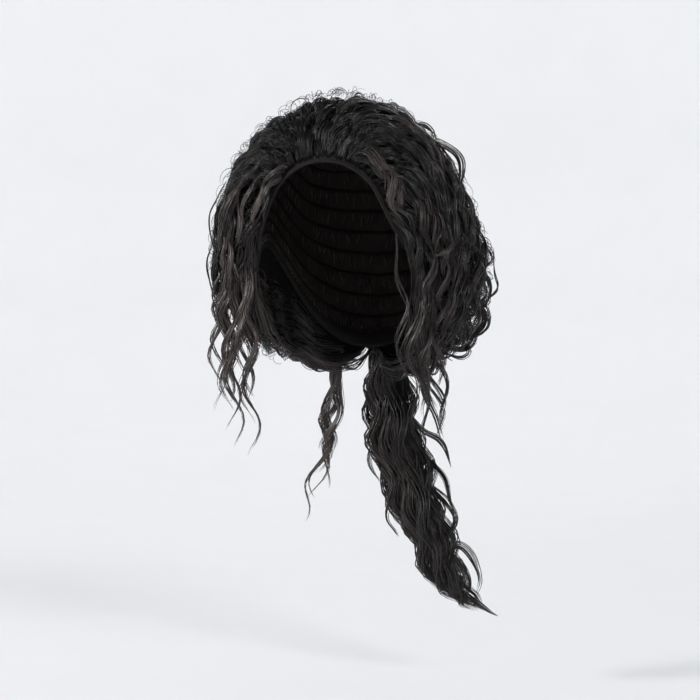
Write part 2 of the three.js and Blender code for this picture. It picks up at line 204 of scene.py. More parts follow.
turns = np.linspace(0, 2 * np.pi, SWEEP_SIDES, endpoint=False)
sweep_points = [
    (row["radius"] * np.cos(turn), row["radius"] * np.sin(turn), FLOOR_HEIGHT + row["height"])
    for row in SWEEP
    for turn in turns
]
sweep_faces = [tuple(range(SWEEP_SIDES))]
for inner in range(0, SWEEP_SIDES * (len(SWEEP) - 1), SWEEP_SIDES):
    outer = inner + SWEEP_SIDES
    for k in range(SWEEP_SIDES):
        after = (k + 1) % SWEEP_SIDES
        sweep_faces.append((inner + k, outer + k, outer + after, inner + after))
sweep_mesh = bpy.data.meshes.new("paper_sweep")
sweep_mesh.from_pydata(sweep_points, [], sweep_faces)
sweep_mesh.polygons.foreach_set("use_smooth", [True] * len(sweep_faces))
sweep_mesh.materials.append(paper)
sweep = bpy.data.objects.new("paper_sweep", sweep_mesh)
bpy.context.collection.objects.link(sweep)
print("floor height in mm:", round(FLOOR_HEIGHT / MM))

# %% [markdown]
# ## Lamps and sky
# Black hair shows its form by its highlights alone. A small hard lamp would scatter sparkles over
# it, so large soft lamps are used, which give long gentle highlights along the fibres. The strongest
# stands before the wearer's right, a weaker one before the left, and one behind draws a thin light
# edge. A dim sky keeps the shadows open. The table gives the lamps' places and sizes in metres.

# %% Lamps and sky
LAMPS = [
    {"name": "key_softbox", "place": (-3.4, -2.4, 1.2), "size": 1.3, "watts": 280},
    {"name": "fill_softbox", "place": (2.6, -3.2, 1.2), "size": 1.3, "watts": 165},
    {"name": "back_softbox", "place": (-0.8, 4.2, 2.0), "size": 2.4, "watts": 96},
]
SKY_COLOUR = "#f2f3f5"
SKY_STRENGTH = 0.3

lamp_aim = Vector((0, 0, AIM_HEIGHT * MM))
for row in LAMPS:
    lamp_data = bpy.data.lights.new(row["name"], "AREA")
    lamp_data.size = row["size"]
    lamp_data.energy = row["watts"]
    lamp = bpy.data.objects.new(row["name"], lamp_data)
    lamp.location = row["place"]
    lamp.rotation_euler = (lamp_aim - lamp.location).to_track_quat("-Z", "Y").to_euler()
    bpy.context.collection.objects.link(lamp)

sky = bpy.data.worlds.new("soft_sky")
bpy.context.scene.world = sky
sky.use_nodes = True
sky_shader = sky.node_tree.nodes["Background"]
sky_shader.inputs["Color"].default_value = linear(SKY_COLOUR)
sky_shader.inputs["Strength"].default_value = SKY_STRENGTH
print("lamps:", ", ".join(row["name"] for row in LAMPS))

# %% [markdown]
# ## The fit of the wig
# A wig takes its shape from the size of head that it is made for, so the making begins with an
# ordinary adult size: two half eggs that meet at their widest line. They are only a measure. A hidden
# mesh could serve for the hair to cling to, but a formula gives the distance to an egg in any
# direction, for thousands of points at once.

# %% The fit of the wig
HEAD_HALF_WIDTH = 74
HEAD_HALF_LENGTH = 95
HEAD_ABOVE = 95
HEAD_BELOW = 120
HEAD_CENTRE = np.array([0, 0, -HEAD_ABOVE])


def reach_head(start, direction):
    """Distance from a point inside the head to its surface along unit directions."""
    offset = start - HEAD_CENTRE

    def reach(height):
        """Distance to a whole egg that is this high above and below its widest line."""
        axes = np.array([HEAD_HALF_WIDTH, HEAD_HALF_LENGTH, height])
        p = offset / axes
        d = direction / axes
        a = (d * d).sum(-1)
        b = (p * d).sum(-1)
        return (-b + np.sqrt(b * b - a * ((p * p).sum() - 1))) / a

    low = reach(HEAD_BELOW)
    return np.where(offset[2] + low * direction[..., 2] < 0, low, reach(HEAD_ABOVE))


print("head in mm:", 2 * HEAD_HALF_WIDTH, 2 * HEAD_HALF_LENGTH, HEAD_ABOVE + HEAD_BELOW)

# %% [markdown]
# ## How high the hair stands
# The hair is flat along the hairline, stands high over both sides and lies lower on the crown. A
# sculptor would push the bulges out by hand. A small table does the same: a row for each place
# across the forehead and a column for each place on the way to the tie, with a smooth curve through
# them, so one number changes one bulge.

# %% Heights from a table
LIFT_PLACES = [0, 0.15, 0.4, 0.7, 1]
HAIR_LIFT = [
    {"across": -1.0, "root": 3, "front": 12, "crown": 15, "back": 14, "tie": 12},
    {"across": -0.7, "root": 3, "front": 21, "crown": 38, "back": 36, "tie": 13},
    {"across": -0.35, "root": 3, "front": 22, "crown": 27, "back": 32, "tie": 14},
    {"across": 0.0, "root": 3, "front": 18, "crown": 14, "back": 25, "tie": 14},
    {"across": 0.35, "root": 3, "front": 18, "crown": 22, "back": 31, "tie": 14},
    {"across": 0.7, "root": 3, "front": 14, "crown": 33, "back": 39, "tie": 13},
    {"across": 1.0, "root": 3, "front": 10, "crown": 18, "back": 24, "tie": 12},
]
LIFT_ACROSS = [row["across"] for row in HAIR_LIFT]
LIFT_VALUES = np.array([list(row.values())[1:] for row in HAIR_LIFT], float)


def table_weights(places, at):
    """How much of each table row a smooth curve through the rows takes at the asked places."""
    places = np.asarray(places, float)
    rows = np.eye(len(places))
    slopes = np.gradient(rows, places, axis=0)
    at = np.clip(at, places[0], places[-1])
    i = np.clip(np.searchsorted(places, at, side="right") - 1, 0, len(places) - 2)
    gap = (places[i + 1] - places[i])[..., None]
    t = (at - places[i])[..., None] / gap
    here = (1 + 2 * t) * (1 - t) ** 2 * rows[i] + t * (1 - t) ** 2 * gap * slopes[i]
    return here + t * t * (3 - 2 * t) * rows[i + 1] + t * t * (t - 1) * gap * slopes[i + 1]


def hair_lift(across, along):
    """Height of the hair over the head in mm."""
    across, along = np.broadcast_arrays(np.asarray(across, float), np.asarray(along, float))
    by_row = table_weights(LIFT_ACROSS, across)
    by_column = table_weights(LIFT_PLACES, along)
    return np.einsum("...j,jk,...k->...", by_row, LIFT_VALUES, by_column)


print("hair stands at most", round(LIFT_VALUES.max()), "mm over the head")

# %% [markdown]
# ## The comb
# All the hair is placed by three numbers: how far across the forehead it starts, how far along its
# way to the tie it has come, and how high it stands over the head. The comb turns those into a
# place. Its places lie on cones round one slanting axis, from a narrow cone at the hairline to one
# that closes on the tie. It is the same comb that the solids were made with, so the fibres stay in
# the space that those hold.

# %% The comb
COMB_CENTRE = np.array([0, 0, -142])
COMB_DIP = np.radians(16)
COMB_AXIS = np.array([0, np.cos(COMB_DIP), -np.sin(COMB_DIP)])
COMB_UP = np.array([0, np.sin(COMB_DIP), np.cos(COMB_DIP)])
COMB_SIDE = np.array([1, 0, 0])
HAIRLINE_CONE = 35.5
TIE_CONE = 172
FOREHEAD_SPAN = 55
FAN_AT_SIDE = 1.3
FAN_AT_TIE = 0.88
# Where the comb lines spread out, as shares of the way: first over the sides, then towards the tie.
SIDE_STRETCH = (0, 0.5)
TIE_STRETCH = (0.7, 1)
SIDE_DRAG = 0.6
TOP_OF_CROWN = (0, 0.35)


def smoothstep(value, low, high):
    """0 below low, 1 above high and an easy slope between."""
    share = np.clip((value - low) / (high - low), 0, 1)
    return share * share * (3 - 2 * share)


def comb_point(across, along, lift):
    """Place in mm over the head."""
    across, along, lift = np.broadcast_arrays(across, along, lift)
    fan = 1 + FAN_AT_SIDE * smoothstep(along, *SIDE_STRETCH) + FAN_AT_TIE * smoothstep(along, *TIE_STRETCH)
    roll = np.radians(FOREHEAD_SPAN * across * fan)
    drag = 1 + SIDE_DRAG * np.minimum(1, np.abs(across))
    cone = np.radians(HAIRLINE_CONE + (TIE_CONE - HAIRLINE_CONE) * np.maximum(along, 0) ** drag)
    direction = -np.cos(cone)[..., None] * COMB_AXIS
    direction = direction + (np.sin(cone) * np.cos(roll))[..., None] * COMB_UP
    direction = direction + (np.sin(cone) * np.sin(roll))[..., None] * COMB_SIDE
    reach = reach_head(COMB_CENTRE, direction) + lift
    return COMB_CENTRE + direction * reach[..., None]


crown_top = comb_point(*TOP_OF_CROWN, hair_lift(*TOP_OF_CROWN))
print("hair over the crown reaches", round(float(crown_top[2])), "mm above the head")

# %% [markdown]
# ## A closed fibre
# A fibre could be a curve with a bevel, a hair system or a mesh. Thousands of curves are slow to
# open and hair systems are lost when a model is exported, so each fibre is a three-sided closed
# tube that narrows to a point at both ends. Smooth shading rounds the three sides. Every point also
# keeps a tone, so that neighbours differ a little in shade, and its length along the fibre, so that
# a material can draw streaks that follow the hair.

# %% Closed fibres
SIDES = 3
# Neighbours lie this far apart on the streak pattern, so that no two have the same streaks.
FIBRE_SPACING = 7.3
# A fibre that starts steeper than this can't take its first across direction from the upright.
STEEP_START = 0.8
UPRIGHT = [[0.0, 0.0, 1.0]]
BACKWARDS = [[0.0, 1.0, 0.0]]
# A vector of no length is divided by this instead of by zero.
NO_LENGTH = 1e-9


def unit(vectors):
    """Vectors of length one."""
    return vectors / np.maximum(np.linalg.norm(vectors, axis=-1, keepdims=True), NO_LENGTH)


def carried_frames(lines):
    """Across and out directions carried along each line without twisting."""
    along = unit(np.gradient(lines, axis=1))
    across = np.empty_like(along)
    helper = np.where(np.abs(along[:, 0, 2:]) < STEEP_START, UPRIGHT, BACKWARDS)
    carried = unit(np.cross(along[:, 0], helper))
    for i in range(lines.shape[1]):
        carried = unit(carried - (carried * along[:, i]).sum(-1, keepdims=True) * along[:, i])
        across[:, i] = carried
    return across, np.cross(along, across)


def per_point(values):
    """Values at the stations of each fibre, repeated for the points of its rings."""
    inner = np.repeat(values[:, 1:-1], SIDES, axis=1)
    return np.concatenate([values[:, :1], inner, values[:, -1:]], axis=1)


def fibre_faces(stations):
    """Faces of one fibre as point numbers, and their corners on a map from 0 to 1."""
    last = 1 + (stations - 3) * SIDES
    rise = 1 / (stations - 1)
    quads, quad_map, tips, tip_map = [], [], [], []
    for k in range(SIDES):
        left, right = k / SIDES, (k + 1) / SIDES
        middle = (left + right) / 2
        after = (k + 1) % SIDES
        for i in range(stations - 3):
            here = 1 + i * SIDES
            low, high = (i + 1) * rise, (i + 2) * rise
            quads.append((here + k, here + after, here + SIDES + after, here + SIDES + k))
            quad_map.append(((left, low), (right, low), (right, high), (left, high)))
        tips.append((0, 1 + after, 1 + k))
        tip_map.append(((middle, 0), (right, rise), (left, rise)))
        tips.append((last + SIDES, last + k, last + after))
        tip_map.append(((middle, 1), (left, 1 - rise), (right, 1 - rise)))
    return [np.array(part) for part in (quads, quad_map, tips, tip_map)]


def spindles(lines, radii, tones):
    """Closed three-sided fibres along centre lines, as one block of mesh."""
    count, stations = lines.shape[:2]
    across, out = carried_frames(lines)
    rings = []
    for angle in 2 * np.pi * np.arange(SIDES) / SIDES:
        rings.append(lines + radii[..., None] * (np.cos(angle) * across + np.sin(angle) * out))
    rings = np.stack(rings, axis=2)[:, 1:-1].reshape(count, -1, 3)
    points = np.concatenate([lines[:, :1], rings, lines[:, -1:]], axis=1)
    steps = np.linalg.norm(np.diff(lines, axis=1), axis=2)
    run = per_point(np.concatenate([np.zeros((count, 1)), np.cumsum(steps, axis=1)], axis=1))
    tones = per_point(np.broadcast_to(tones.reshape(count, -1), (count, stations)))
    beside = np.broadcast_to(FIBRE_SPACING * np.arange(count)[:, None], run.shape)
    quads, quad_map, tips, tip_map = fibre_faces(stations)
    start = np.arange(count)[:, None, None] * points.shape[1]
    return {
        "points": points.reshape(-1, 3),
        "tones": tones.ravel(),
        "comb": np.stack([beside, run], axis=2).reshape(-1, 2),
        "quads": (quads + start).reshape(-1, 4),
        "tips": (tips + start).reshape(-1, 3),
        "quad_map": np.broadcast_to(quad_map, (count, *quad_map.shape)),
        "tip_map": np.broadcast_to(tip_map, (count, *tip_map.shape)),
        "count": count,
    }


print("a fibre has", 2 * SIDES, "triangles for each station between its ends")

# %% [markdown]
# ## A flat map of the fibres
# To carry a painted colour, a mesh has to be laid out flat. Blender could unwrap it, but it would
# take very long on so many small pieces. A fibre is a plain strip, so each simply gets a cell of its
# own in a grid, with a margin round it that keeps a colour from bleeding into the next cell.

# %% Flat map
CELL_FILL = 0.8


def place_on_map(blocks, low, high):
    """Gives every fibre of a piece its own cell of the flat map, between two heights on it."""
    total = sum(block["count"] for block in blocks)
    columns = int(np.ceil(np.sqrt(total)))
    rows = int(np.ceil(total / columns))
    cell = np.array([1 / columns, (high - low) / rows])
    placed = 0
    for block in blocks:
        index = placed + np.arange(block["count"])
        corner = np.stack([index % columns, index // columns], axis=1) * cell + [0, low]
        for name in ("quad_map", "tip_map"):
            block[name] = corner[:, None, None] + block[name] * cell * CELL_FILL
        placed += block["count"]


print("share of each cell that a fibre fills:", CELL_FILL)

# %% [markdown]
# ## Closed skins
# Net, ribbon, cords and the layer under the hair are sheets or tubes rather than fibres. They are
# made as a skin through rings of points, the way a loft works. The skin either closes on itself, as
# a ring does, or ends in a point at both ends, so every piece is a closed body with no loose edge.

# %% Closed skins
END_DEPTH = 0.9


def skin_block(rings, is_loop, comb, tone, map_low, map_high):
    """A closed skin through rings of points. Its ends join in a loop, or close on a point each."""
    rows, columns = rings.shape[:2]
    at = np.arange(rows * columns).reshape(rows, columns)
    points = [rings.reshape(-1, 3)]
    runs = [comb.reshape(-1, 2)]
    quads, quad_map, tips, tip_map = [], [], [], []
    for r in range(rows if is_loop else rows - 1):
        for c in range(columns):
            below, after = (r + 1) % rows, (c + 1) % columns
            quads.append((at[r, c], at[r, after], at[below, after], at[below, c]))
            quad_map.append(((c, r), (c + 1, r), (c + 1, r + 1), (c, r + 1)))
    for end, row in enumerate([] if is_loop else [0, rows - 1]):
        points.append(rings[row].mean(axis=0, keepdims=True))
        runs.append(comb[row].mean(axis=0, keepdims=True))
        top = rows + end
        for c in range(columns):
            sides = [(at[row, (c + 1) % columns], c + 1), (at[row, c], c)]
            if end:
                sides.reverse()
            tips.append((rows * columns + end, sides[0][0], sides[1][0]))
            base = [(column, top - END_DEPTH) for _, column in sides]
            tip_map.append([(c + 0.5, top), *base])
    points = np.concatenate(points)
    low = np.array(map_low)
    cell = (np.array(map_high) - low) / [columns + 1, rows + 1]
    return {
        "points": points,
        "tones": np.full(len(points), tone),
        "comb": np.concatenate(runs),
        "quads": np.array(quads),
        "tips": np.array(tips, int).reshape(-1, 3),
        "quad_map": low + cell * np.array(quad_map, float),
        "tip_map": low + cell * np.array(tip_map, float).reshape(-1, 3, 2),
    }


print("part of a map cell that an end takes:", END_DEPTH)

# %% [markdown]
# ## One object for each piece
# A wig maker sees a section of hair as one thing, and so should the outliner. All the fibres and
# skins of a piece are joined in one mesh. Writing the arrays straight into the mesh takes a moment,
# where adding faces one by one would take minutes. The tones and the lengths along the hair go with
# it as attributes, which the materials read.

# %% One object for each piece
WHOLE_WIG = "root"


def mesh_piece(name, node, blocks, materials, finishes):
    """One object from blocks of mesh, in place of a solid. Each block has the number of a material."""
    starts = np.cumsum([0] + [len(block["points"]) for block in blocks])
    corners, totals, places, numbers = [], [], [], []
    for block, start, finish in zip(blocks, starts, finishes):
        for faces, flat in ((block["quads"], block["quad_map"]), (block["tips"], block["tip_map"])):
            corners.append((faces + start).ravel())
            totals.append(np.full(len(faces), faces.shape[1]))
            places.append(flat.reshape(-1, 2))
            numbers.append(np.full(len(faces), finish))
    points = np.concatenate([block["points"] for block in blocks]) * MM
    corners = np.concatenate(corners)
    totals = np.concatenate(totals)
    mesh = bpy.data.meshes.new(name)
    mesh.vertices.add(len(points))
    mesh.vertices.foreach_set("co", points.ravel())
    mesh.loops.add(len(corners))
    mesh.loops.foreach_set("vertex_index", corners)
    mesh.polygons.add(len(totals))
    mesh.polygons.foreach_set("loop_start", np.cumsum(totals) - totals)
    mesh.polygons.foreach_set("material_index", np.concatenate(numbers))
    mesh.update(calc_edges=True)
    mesh.polygons.foreach_set("use_smooth", np.ones(len(totals), bool))
    flat_map = mesh.uv_layers.new(name="OFBake")
    flat_map.uv.foreach_set("vector", np.concatenate(places).ravel())
    tones = mesh.attributes.new("tone", "FLOAT", "POINT")
    tones.data.foreach_set("value", np.concatenate([block["tones"] for block in blocks]))
    comb = np.concatenate([block["comb"] for block in blocks])
    lines = mesh.attributes.new("comb", "FLOAT_VECTOR", "POINT")
    lines.data.foreach_set("vector", np.column_stack([comb, np.zeros(len(comb))]).ravel())
    for material in materials:
        mesh.materials.append(material)
    piece = bpy.data.objects.new(name, mesh)
    bpy.context.collection.objects.link(piece)
    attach(piece, WHOLE_WIG)
    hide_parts(node)
    print(name, "has", int((totals - 2).sum()), "triangles")


print("pieces ride on the body:", WHOLE_WIG)

# %% [markdown]
# ## Hair fibre
# The hair is modacrylic: pressed out of fine nozzles, dyed black in the mass and set into waves with
# steam. Real fibres are about 0.08 mm thick, too fine to show, so each drawn fibre stands for a wisp
# of them, and a streaky noise along it stands for the fibres inside the wisp, at several times their
# real width. A principled hair shader would need true curves, so the plain principled shader is
# used, with the streaks in its colour, roughness and bump.

# %% Hair fibre materials
WISP_STREAK_WIDTH = 0.5
WISP_STREAK_LENGTH = 24
STREAK_DETAIL = 2.0
STREAK_SHARE = 0.5
STREAK_LOW = 0.3
STREAK_HIGH = 0.7
STREAK_RELIEF = 0.3
STREAK_BUMP = 0.2
MIDDLE_TONE = 0.5
FIBRE_COLOURS = {0.0: "#050505", MIDDLE_TONE: "#151211", 1.0: "#4b4340"}
MODACRYLIC_IOR = 1.53


def modacrylic(name, smooth, rough, specular):
    """Spun fibre with streaks along its comb lines, from a smoothest and a roughest finish."""
    material, tree = new_material(name)
    tone = add_node(tree, "ShaderNodeAttribute", {"attribute_name": "tone"})
    comb_lines = add_node(tree, "ShaderNodeAttribute", {"attribute_name": "comb"})
    stretched = add_node(
        tree,
        "ShaderNodeMapping",
        Vector=comb_lines.outputs["Vector"],
        Scale=(1 / WISP_STREAK_WIDTH, 1 / WISP_STREAK_LENGTH, 1),
    )
    streaks = add_node(
        tree,
        "ShaderNodeTexNoise",
        Vector=stretched.outputs["Vector"],
        Scale=1.0,
        Detail=STREAK_DETAIL,
    )
    # The streaks lighten the colour: partly the fibres' own tone, partly a painted sheen along them.
    shade = add_node(
        tree,
        "ShaderNodeMath",
        {"operation": "MULTIPLY_ADD"},
        i0=streaks.outputs["Fac"],
        i1=STREAK_SHARE,
        i2=tone.outputs["Fac"],
    )
    colour = add_node(tree, "ShaderNodeValToRGB", Fac=shade.outputs["Value"])
    stops = colour.color_ramp.elements
    stops.new(MIDDLE_TONE)
    for stop, (place, fibre_colour) in zip(stops, FIBRE_COLOURS.items()):
        stop.position = place
        stop.color = linear(fibre_colour)
    gloss = add_node(
        tree,
        "ShaderNodeMapRange",
        Value=streaks.outputs["Fac"],
        From_Min=STREAK_LOW,
        From_Max=STREAK_HIGH,
        To_Min=smooth,
        To_Max=rough,
    )
    grooves = add_node(
        tree,
        "ShaderNodeBump",
        Strength=STREAK_BUMP,
        Distance=STREAK_RELIEF * MM,
        Height=streaks.outputs["Fac"],
    )
    shader = add_node(
        tree,
        "ShaderNodeBsdfPrincipled",
        Base_Color=colour.outputs["Color"],
        Roughness=gloss.outputs["Result"],
        IOR=MODACRYLIC_IOR,
        Specular_IOR_Level=specular,
        Normal=grooves.outputs["Normal"],
    )
    add_node(tree, "ShaderNodeOutputMaterial", Surface=shader.outputs["BSDF"])
    return material


# Fibre fresh from the nozzle is smooth: near-black, with a soft warm shine that runs in streaks, partly
# from its gloss and partly painted into its colour as sheen.
hair_fibre = modacrylic("spun_modacrylic_fibre", smooth=0.28, rough=0.44, specular=0.4)
# Deep between the locks the fibres are matted, with little shine. The dull dark ground that they give
# the eye there is painted shade.
matted_fibre = modacrylic("matted_modacrylic_fibre", smooth=0.8, rough=0.95, specular=0.1)
print("hair colours:", ", ".join(FIBRE_COLOURS.values()))

# %% [markdown]
# ## One lock of hair
# Waved hair parts into locks whose fibres wave together, while neighbouring locks wave against each
# other. A noise on every fibre would only give fuzz, so a lock is one middle line with a wave of its
# own, and its fibres follow it with small differences of place, phase and swing. Some fibres start at
# the root and the rest come up through the others on the way, as hair of many lengths does. A kind of
# lock is written as a short recipe in millimetres and shares: how long and how ragged its fibres are,
# how it waves and where it comes to rest, how deep its ends are tucked in and how dark its root is
# painted, a painted shade among the roots.
# Here and below, a pair of numbers is a range, and each lock or fibre draws its own number from it.

# %% A lock of fibres
PATH_POINTS = 100
WISP_RADIUS = 0.42
WISP_SPREAD = (0.7, 1.3)
WISP_THINNING = 0.65
ROOT_SCATTER = 4
ROOT_SINK = 0.6
LATER_SINK = 3
SHORTEST_STAY = 0.6
END_SHARE = 0.2
TAPER_FROM = 0.45
LOCK_CROWNING = 0.5
WAVE_STARTS = (3, 30)
PHASE_ACROSS = 0.35
PHASE_SPREAD = 0.07
SWING_SPREAD = (0.85, 1.15)
TONE_SPREAD = (-0.08, 0.32)


def between_points(values, places):
    """Values of a dense line at places counted in its points."""
    low = np.clip(np.floor(places).astype(int), 0, len(values) - 2)
    share = (places - low)[..., None]
    return values[low] * (1 - share) + values[low + 1] * share


def wisp_radii(rng, count, stations, radius):
    """Half widths along each fibre: full in the middle and finer at both ends."""
    t = np.linspace(-1, 1, stations)
    return radius * rng.uniform(*WISP_SPREAD, (count, 1)) * (1 - WISP_THINNING * np.abs(t) ** 3)


def drawn_lock(rng, kind, tone=0, **own):
    """A lock of a kind with values of its own, and a number drawn where the kind has a range."""
    lock = {**kind, **own}
    for name in ("wave", "sway", "rise"):
        if isinstance(lock[name], tuple):
            lock[name] = rng.uniform(*lock[name])
    lock["tone"] = tone + rng.uniform(*lock["tones"])
    return lock


def lock_fibres(rng, path, out, lock):
    """Fibres in waves along a middle line, with the outward direction at each of its points."""
    count = lock["fibres"]
    steps = np.linalg.norm(np.diff(path, axis=0), axis=1)
    ruler = np.concatenate([[0], np.cumsum(steps)])
    total = ruler[-1]
    length = rng.uniform(*lock["length"], (count, 1))
    is_rooted = rng.random((count, 1)) < lock["rooted"]
    later = rng.uniform(0, max(total - SHORTEST_STAY * lock["length"][0], 1), (count, 1))
    start = np.where(is_rooted, rng.uniform(0, ROOT_SCATTER, (count, 1)), later)
    end = np.minimum(start + length, total - rng.uniform(0, lock["ragged"], (count, 1)))
    t = np.linspace(0, 1, lock["stations"])
    run = start + (end - start) * t
    places = np.interp(run, ruler, np.arange(len(path)))
    ahead = unit(between_points(np.gradient(path, axis=0), places))
    outward = between_points(out, places)
    outward = unit(outward - (outward * ahead).sum(-1, keepdims=True) * ahead)
    side = np.cross(ahead, outward)
    spot = rng.uniform(-1, 1, (count, 1))
    width = np.interp(run, ruler, lock["width"])
    width = width * (1 - lock["taper"] * smoothstep(run / total, TAPER_FROM, 1))
    depth = np.interp(run, ruler, lock["depth"]) * (rng.random((count, 1)) + LOCK_CROWNING * spot**2)
    phase = lock["phase"] + PHASE_ACROSS * spot + rng.normal(0, PHASE_SPREAD, (count, 1))
    wave = 2 * np.pi * run / lock["wave"] + phase
    swing = smoothstep(run, *WAVE_STARTS) * (1 - smoothstep(run, total - lock["calm"], total + 1))
    swing = swing * rng.uniform(*SWING_SPREAD, (count, 1))
    sunk = np.where(is_rooted, ROOT_SINK, LATER_SINK) * (1 - smoothstep(t, 0, END_SHARE))
    sunk = sunk + lock["tuck"] * smoothstep(t, 1 - END_SHARE, 1)
    sideways = width * spot + lock["sway"] * swing * np.sin(wave)
    upward = lock["rise"] * swing * np.cos(wave) - depth - sunk
    lines = between_points(path, places) + sideways[..., None] * side + upward[..., None] * outward
    tones = lock["tone"] + rng.uniform(*TONE_SPREAD, (count, 1))
    # Painted shade: each fibre is painted darker towards its root, by 'shade' over its first 'dark' mm.
    tones = tones - lock["shade"] * (1 - smoothstep(run, 0, lock["dark"]))
    return spindles(lines, wisp_radii(rng, count, lock["stations"], lock["radius"]), tones)


print("points on a lock's middle line:", PATH_POINTS)

# %% [markdown]
# ## Swept-back hair
# Five sections of hair are sewn on the cap: the crown, two sides and two fronts. Their base is swept
# back from the hairline to the tie. It could be one even coat of fibres, but combed waves clump, so
# it is made of locks side by side, each at its own height, and dark gaps show between them. A section
# has a level, which is its share of the height in the table above, and gives up a further share where
# other hair falls over it. It has two tones, both painted light and shade, lightest on the fronts and
# darkest on the crown: one for this base, darker in the shade of the hair that falls over it, and one
# for that hair.

# %% Swept locks
RIGHT_FRONT = "right_front_hair"
RIGHT_SIDE = "right_side_hair"
CROWN = "crown_hair"
LEFT_SIDE = "left_side_hair"
LEFT_FRONT = "left_front_hair"
# Painted light and shade: the tones light the fronts, darken the crown and keep each base darker than the
# hair that falls over it.
SECTIONS = [
    {"name": RIGHT_FRONT, "from": -1.0, "to": -0.6, "locks": 10, "fibres": 440,
     "level": 1.0, "falls": 0.22, "base": 0.15, "tone": 0.68},
    {"name": RIGHT_SIDE, "from": -0.6, "to": -0.3, "locks": 8, "fibres": 720,
     "level": 0.94, "falls": 0.14, "base": 0.0, "tone": 0.14},
    {"name": CROWN, "from": -0.3, "to": 0.3, "locks": 15, "fibres": 1380,
     "level": 0.87, "falls": 0.0, "base": -0.2, "tone": -0.2},
    {"name": LEFT_SIDE, "from": 0.3, "to": 0.6, "locks": 8, "fibres": 720,
     "level": 0.95, "falls": 0.14, "base": -0.1, "tone": 0.1},
    {"name": LEFT_FRONT, "from": 0.6, "to": 1.0, "locks": 10, "fibres": 440,
     "level": 1.0, "falls": 0.22, "base": 0.14, "tone": 0.44},
]
SWEPT = {
    "stations": 18, "length": (60, 115), "rooted": 0.32, "ragged": 4, "taper": 0,
    "wave": (30, 46), "sway": (2.4, 4.2), "rise": (2.0, 4.0), "calm": 40, "tuck": 2,
    "tones": (-0.3, 0.22), "shade": 0.5, "dark": 32, "radius": WISP_RADIUS,
}
# A golden part of a turn never comes back to the same phase, so no two locks wave alike. Each section
# counts its locks on from its place across the forehead.
GOLDEN_TURN = 2 * np.pi * 0.618
SECTION_PHASES = 10
SWEPT_LEVELS = (0.86, 1.04)
SWEPT_OVERLAP = 0.52
SWEPT_DEPTH = 0.2
SWEPT_STRAY = 0.4
SWEPT_STRAY_TURNS = 7
SWEPT_LUMPS = 0.07
SWEPT_LUMP_TURNS = 24
FALLS_END = (0.25, 0.55)
LAST_COMBED = 0.985


def swept_locks(rng, section):
    """The locks of a section that run from the hairline to the tie, lower where others fall over."""
    step = (section["to"] - section["from"]) / section["locks"]
    along = np.linspace(0, LAST_COMBED, PATH_POINTS)
    under_falls = 1 - section["falls"] * (1 - smoothstep(along, *FALLS_END))
    blocks = []
    for index in range(section["locks"]):
        phase = GOLDEN_TURN * (index + SECTION_PHASES * section["from"])
        stray = SWEPT_STRAY * step * np.sin(SWEPT_STRAY_TURNS * along + phase)
        across = section["from"] + step * (index + 0.5) + stray
        lift = hair_lift(across, along)
        lumps = 1 + SWEPT_LUMPS * np.sin(SWEPT_LUMP_TURNS * along + 2 * phase)
        level = section["level"] * rng.uniform(*SWEPT_LEVELS)
        path = comb_point(across, along, level * lumps * under_falls * lift)
        beside = comb_point(across + step, along, lift)
        lock = drawn_lock(
            rng,
            SWEPT,
            section["base"],
            fibres=section["fibres"] // section["locks"],
            width=SWEPT_OVERLAP * np.linalg.norm(beside - path, axis=1),
            depth=SWEPT_DEPTH * lift,
            phase=phase,
        )
        blocks.append(lock_fibres(rng, path, path - COMB_CENTRE, lock))
    return blocks


print("swept locks:", sum(section["locks"] for section in SECTIONS))

# %% [markdown]
# ## The layer under the locks
# On the real wig thousands of hidden fibres fill a section down to the net. Drawing them all would
# be waste, since they are never seen one by one. A closed layer with a rib below each lock stands for
# them, in the dull matted fibre and painted near-black as the shade deep between the locks, so that no
# light shows through the hair.

# %% Underlayer
LAYER_COLUMNS = 26
LAYER_ROWS = 46
LAYER_GAP = 0.004
LAYER_START = 0.03
LAYER_EDGE = 0.94
LAYER_BASE = 2.3
LAYER_THINNEST = 0.5
LAYER_LEVEL = 0.54
LAYER_RIB = 0.06
# Painted shade: the layer's tone is near black, for the shade deep between the locks.
LAYER_PAINTED_SHADE = -0.3
HAIR_WIDTH = 240
HAIR_LENGTH = 270
FIBRE_MAP_START = 0.16
MAP_MARGIN = 0.005


def underlayer(section):
    """The closed ribbed layer under a section's fibres, on the lowest strip of the flat map."""
    width = section["to"] - section["from"]
    across = np.linspace(section["from"] + LAYER_GAP, section["to"] - LAYER_GAP, LAYER_COLUMNS)
    across = np.clip(across, -LAYER_EDGE, LAYER_EDGE)
    along = np.linspace(LAYER_START, LAST_COMBED, LAYER_ROWS)
    place, spread = np.meshgrid(along, across, indexing="ij")
    rib = np.cos(2 * np.pi * section["locks"] * (spread - section["from"]) / width)
    height = hair_lift(spread, place) * (LAYER_LEVEL - LAYER_RIB * rib)
    height = np.maximum(height, LAYER_BASE + LAYER_THINNEST)
    outer = comb_point(spread, place, height)
    inner = comb_point(spread, place, np.full_like(height, LAYER_BASE))
    rings = np.concatenate([outer, inner[:, ::-1]], axis=1)
    ruler = np.stack([HAIR_WIDTH * spread, HAIR_LENGTH * place], axis=2)
    comb = np.concatenate([ruler, ruler[:, ::-1]], axis=1)
    return skin_block(rings, False, comb, LAYER_PAINTED_SHADE, (0, 0), (1, FIBRE_MAP_START - MAP_MARGIN))


print("the layer lies", LAYER_BASE, "mm over the head")

# %% [markdown]
# ## Falling hair
# Over the swept base, locks fall from the top of the head beside the face: nearly straight down on
# the wearer's right, and slanting outwards on the fuller left. They cross the base, so they are laid
# over it at its full height, and once they are past the widest part of the head they hang. A few thin
# locks bow out of the mass and come back, and leave the open loops along the outline. Locks further
# from the face are darker, because less light reaches them, and so are the roots. A row of the table
# says where across the forehead its locks start and how far onward they go, where along the comb they
# start and how far back they drift, how far they bow out, and how many mm of their root are dark.

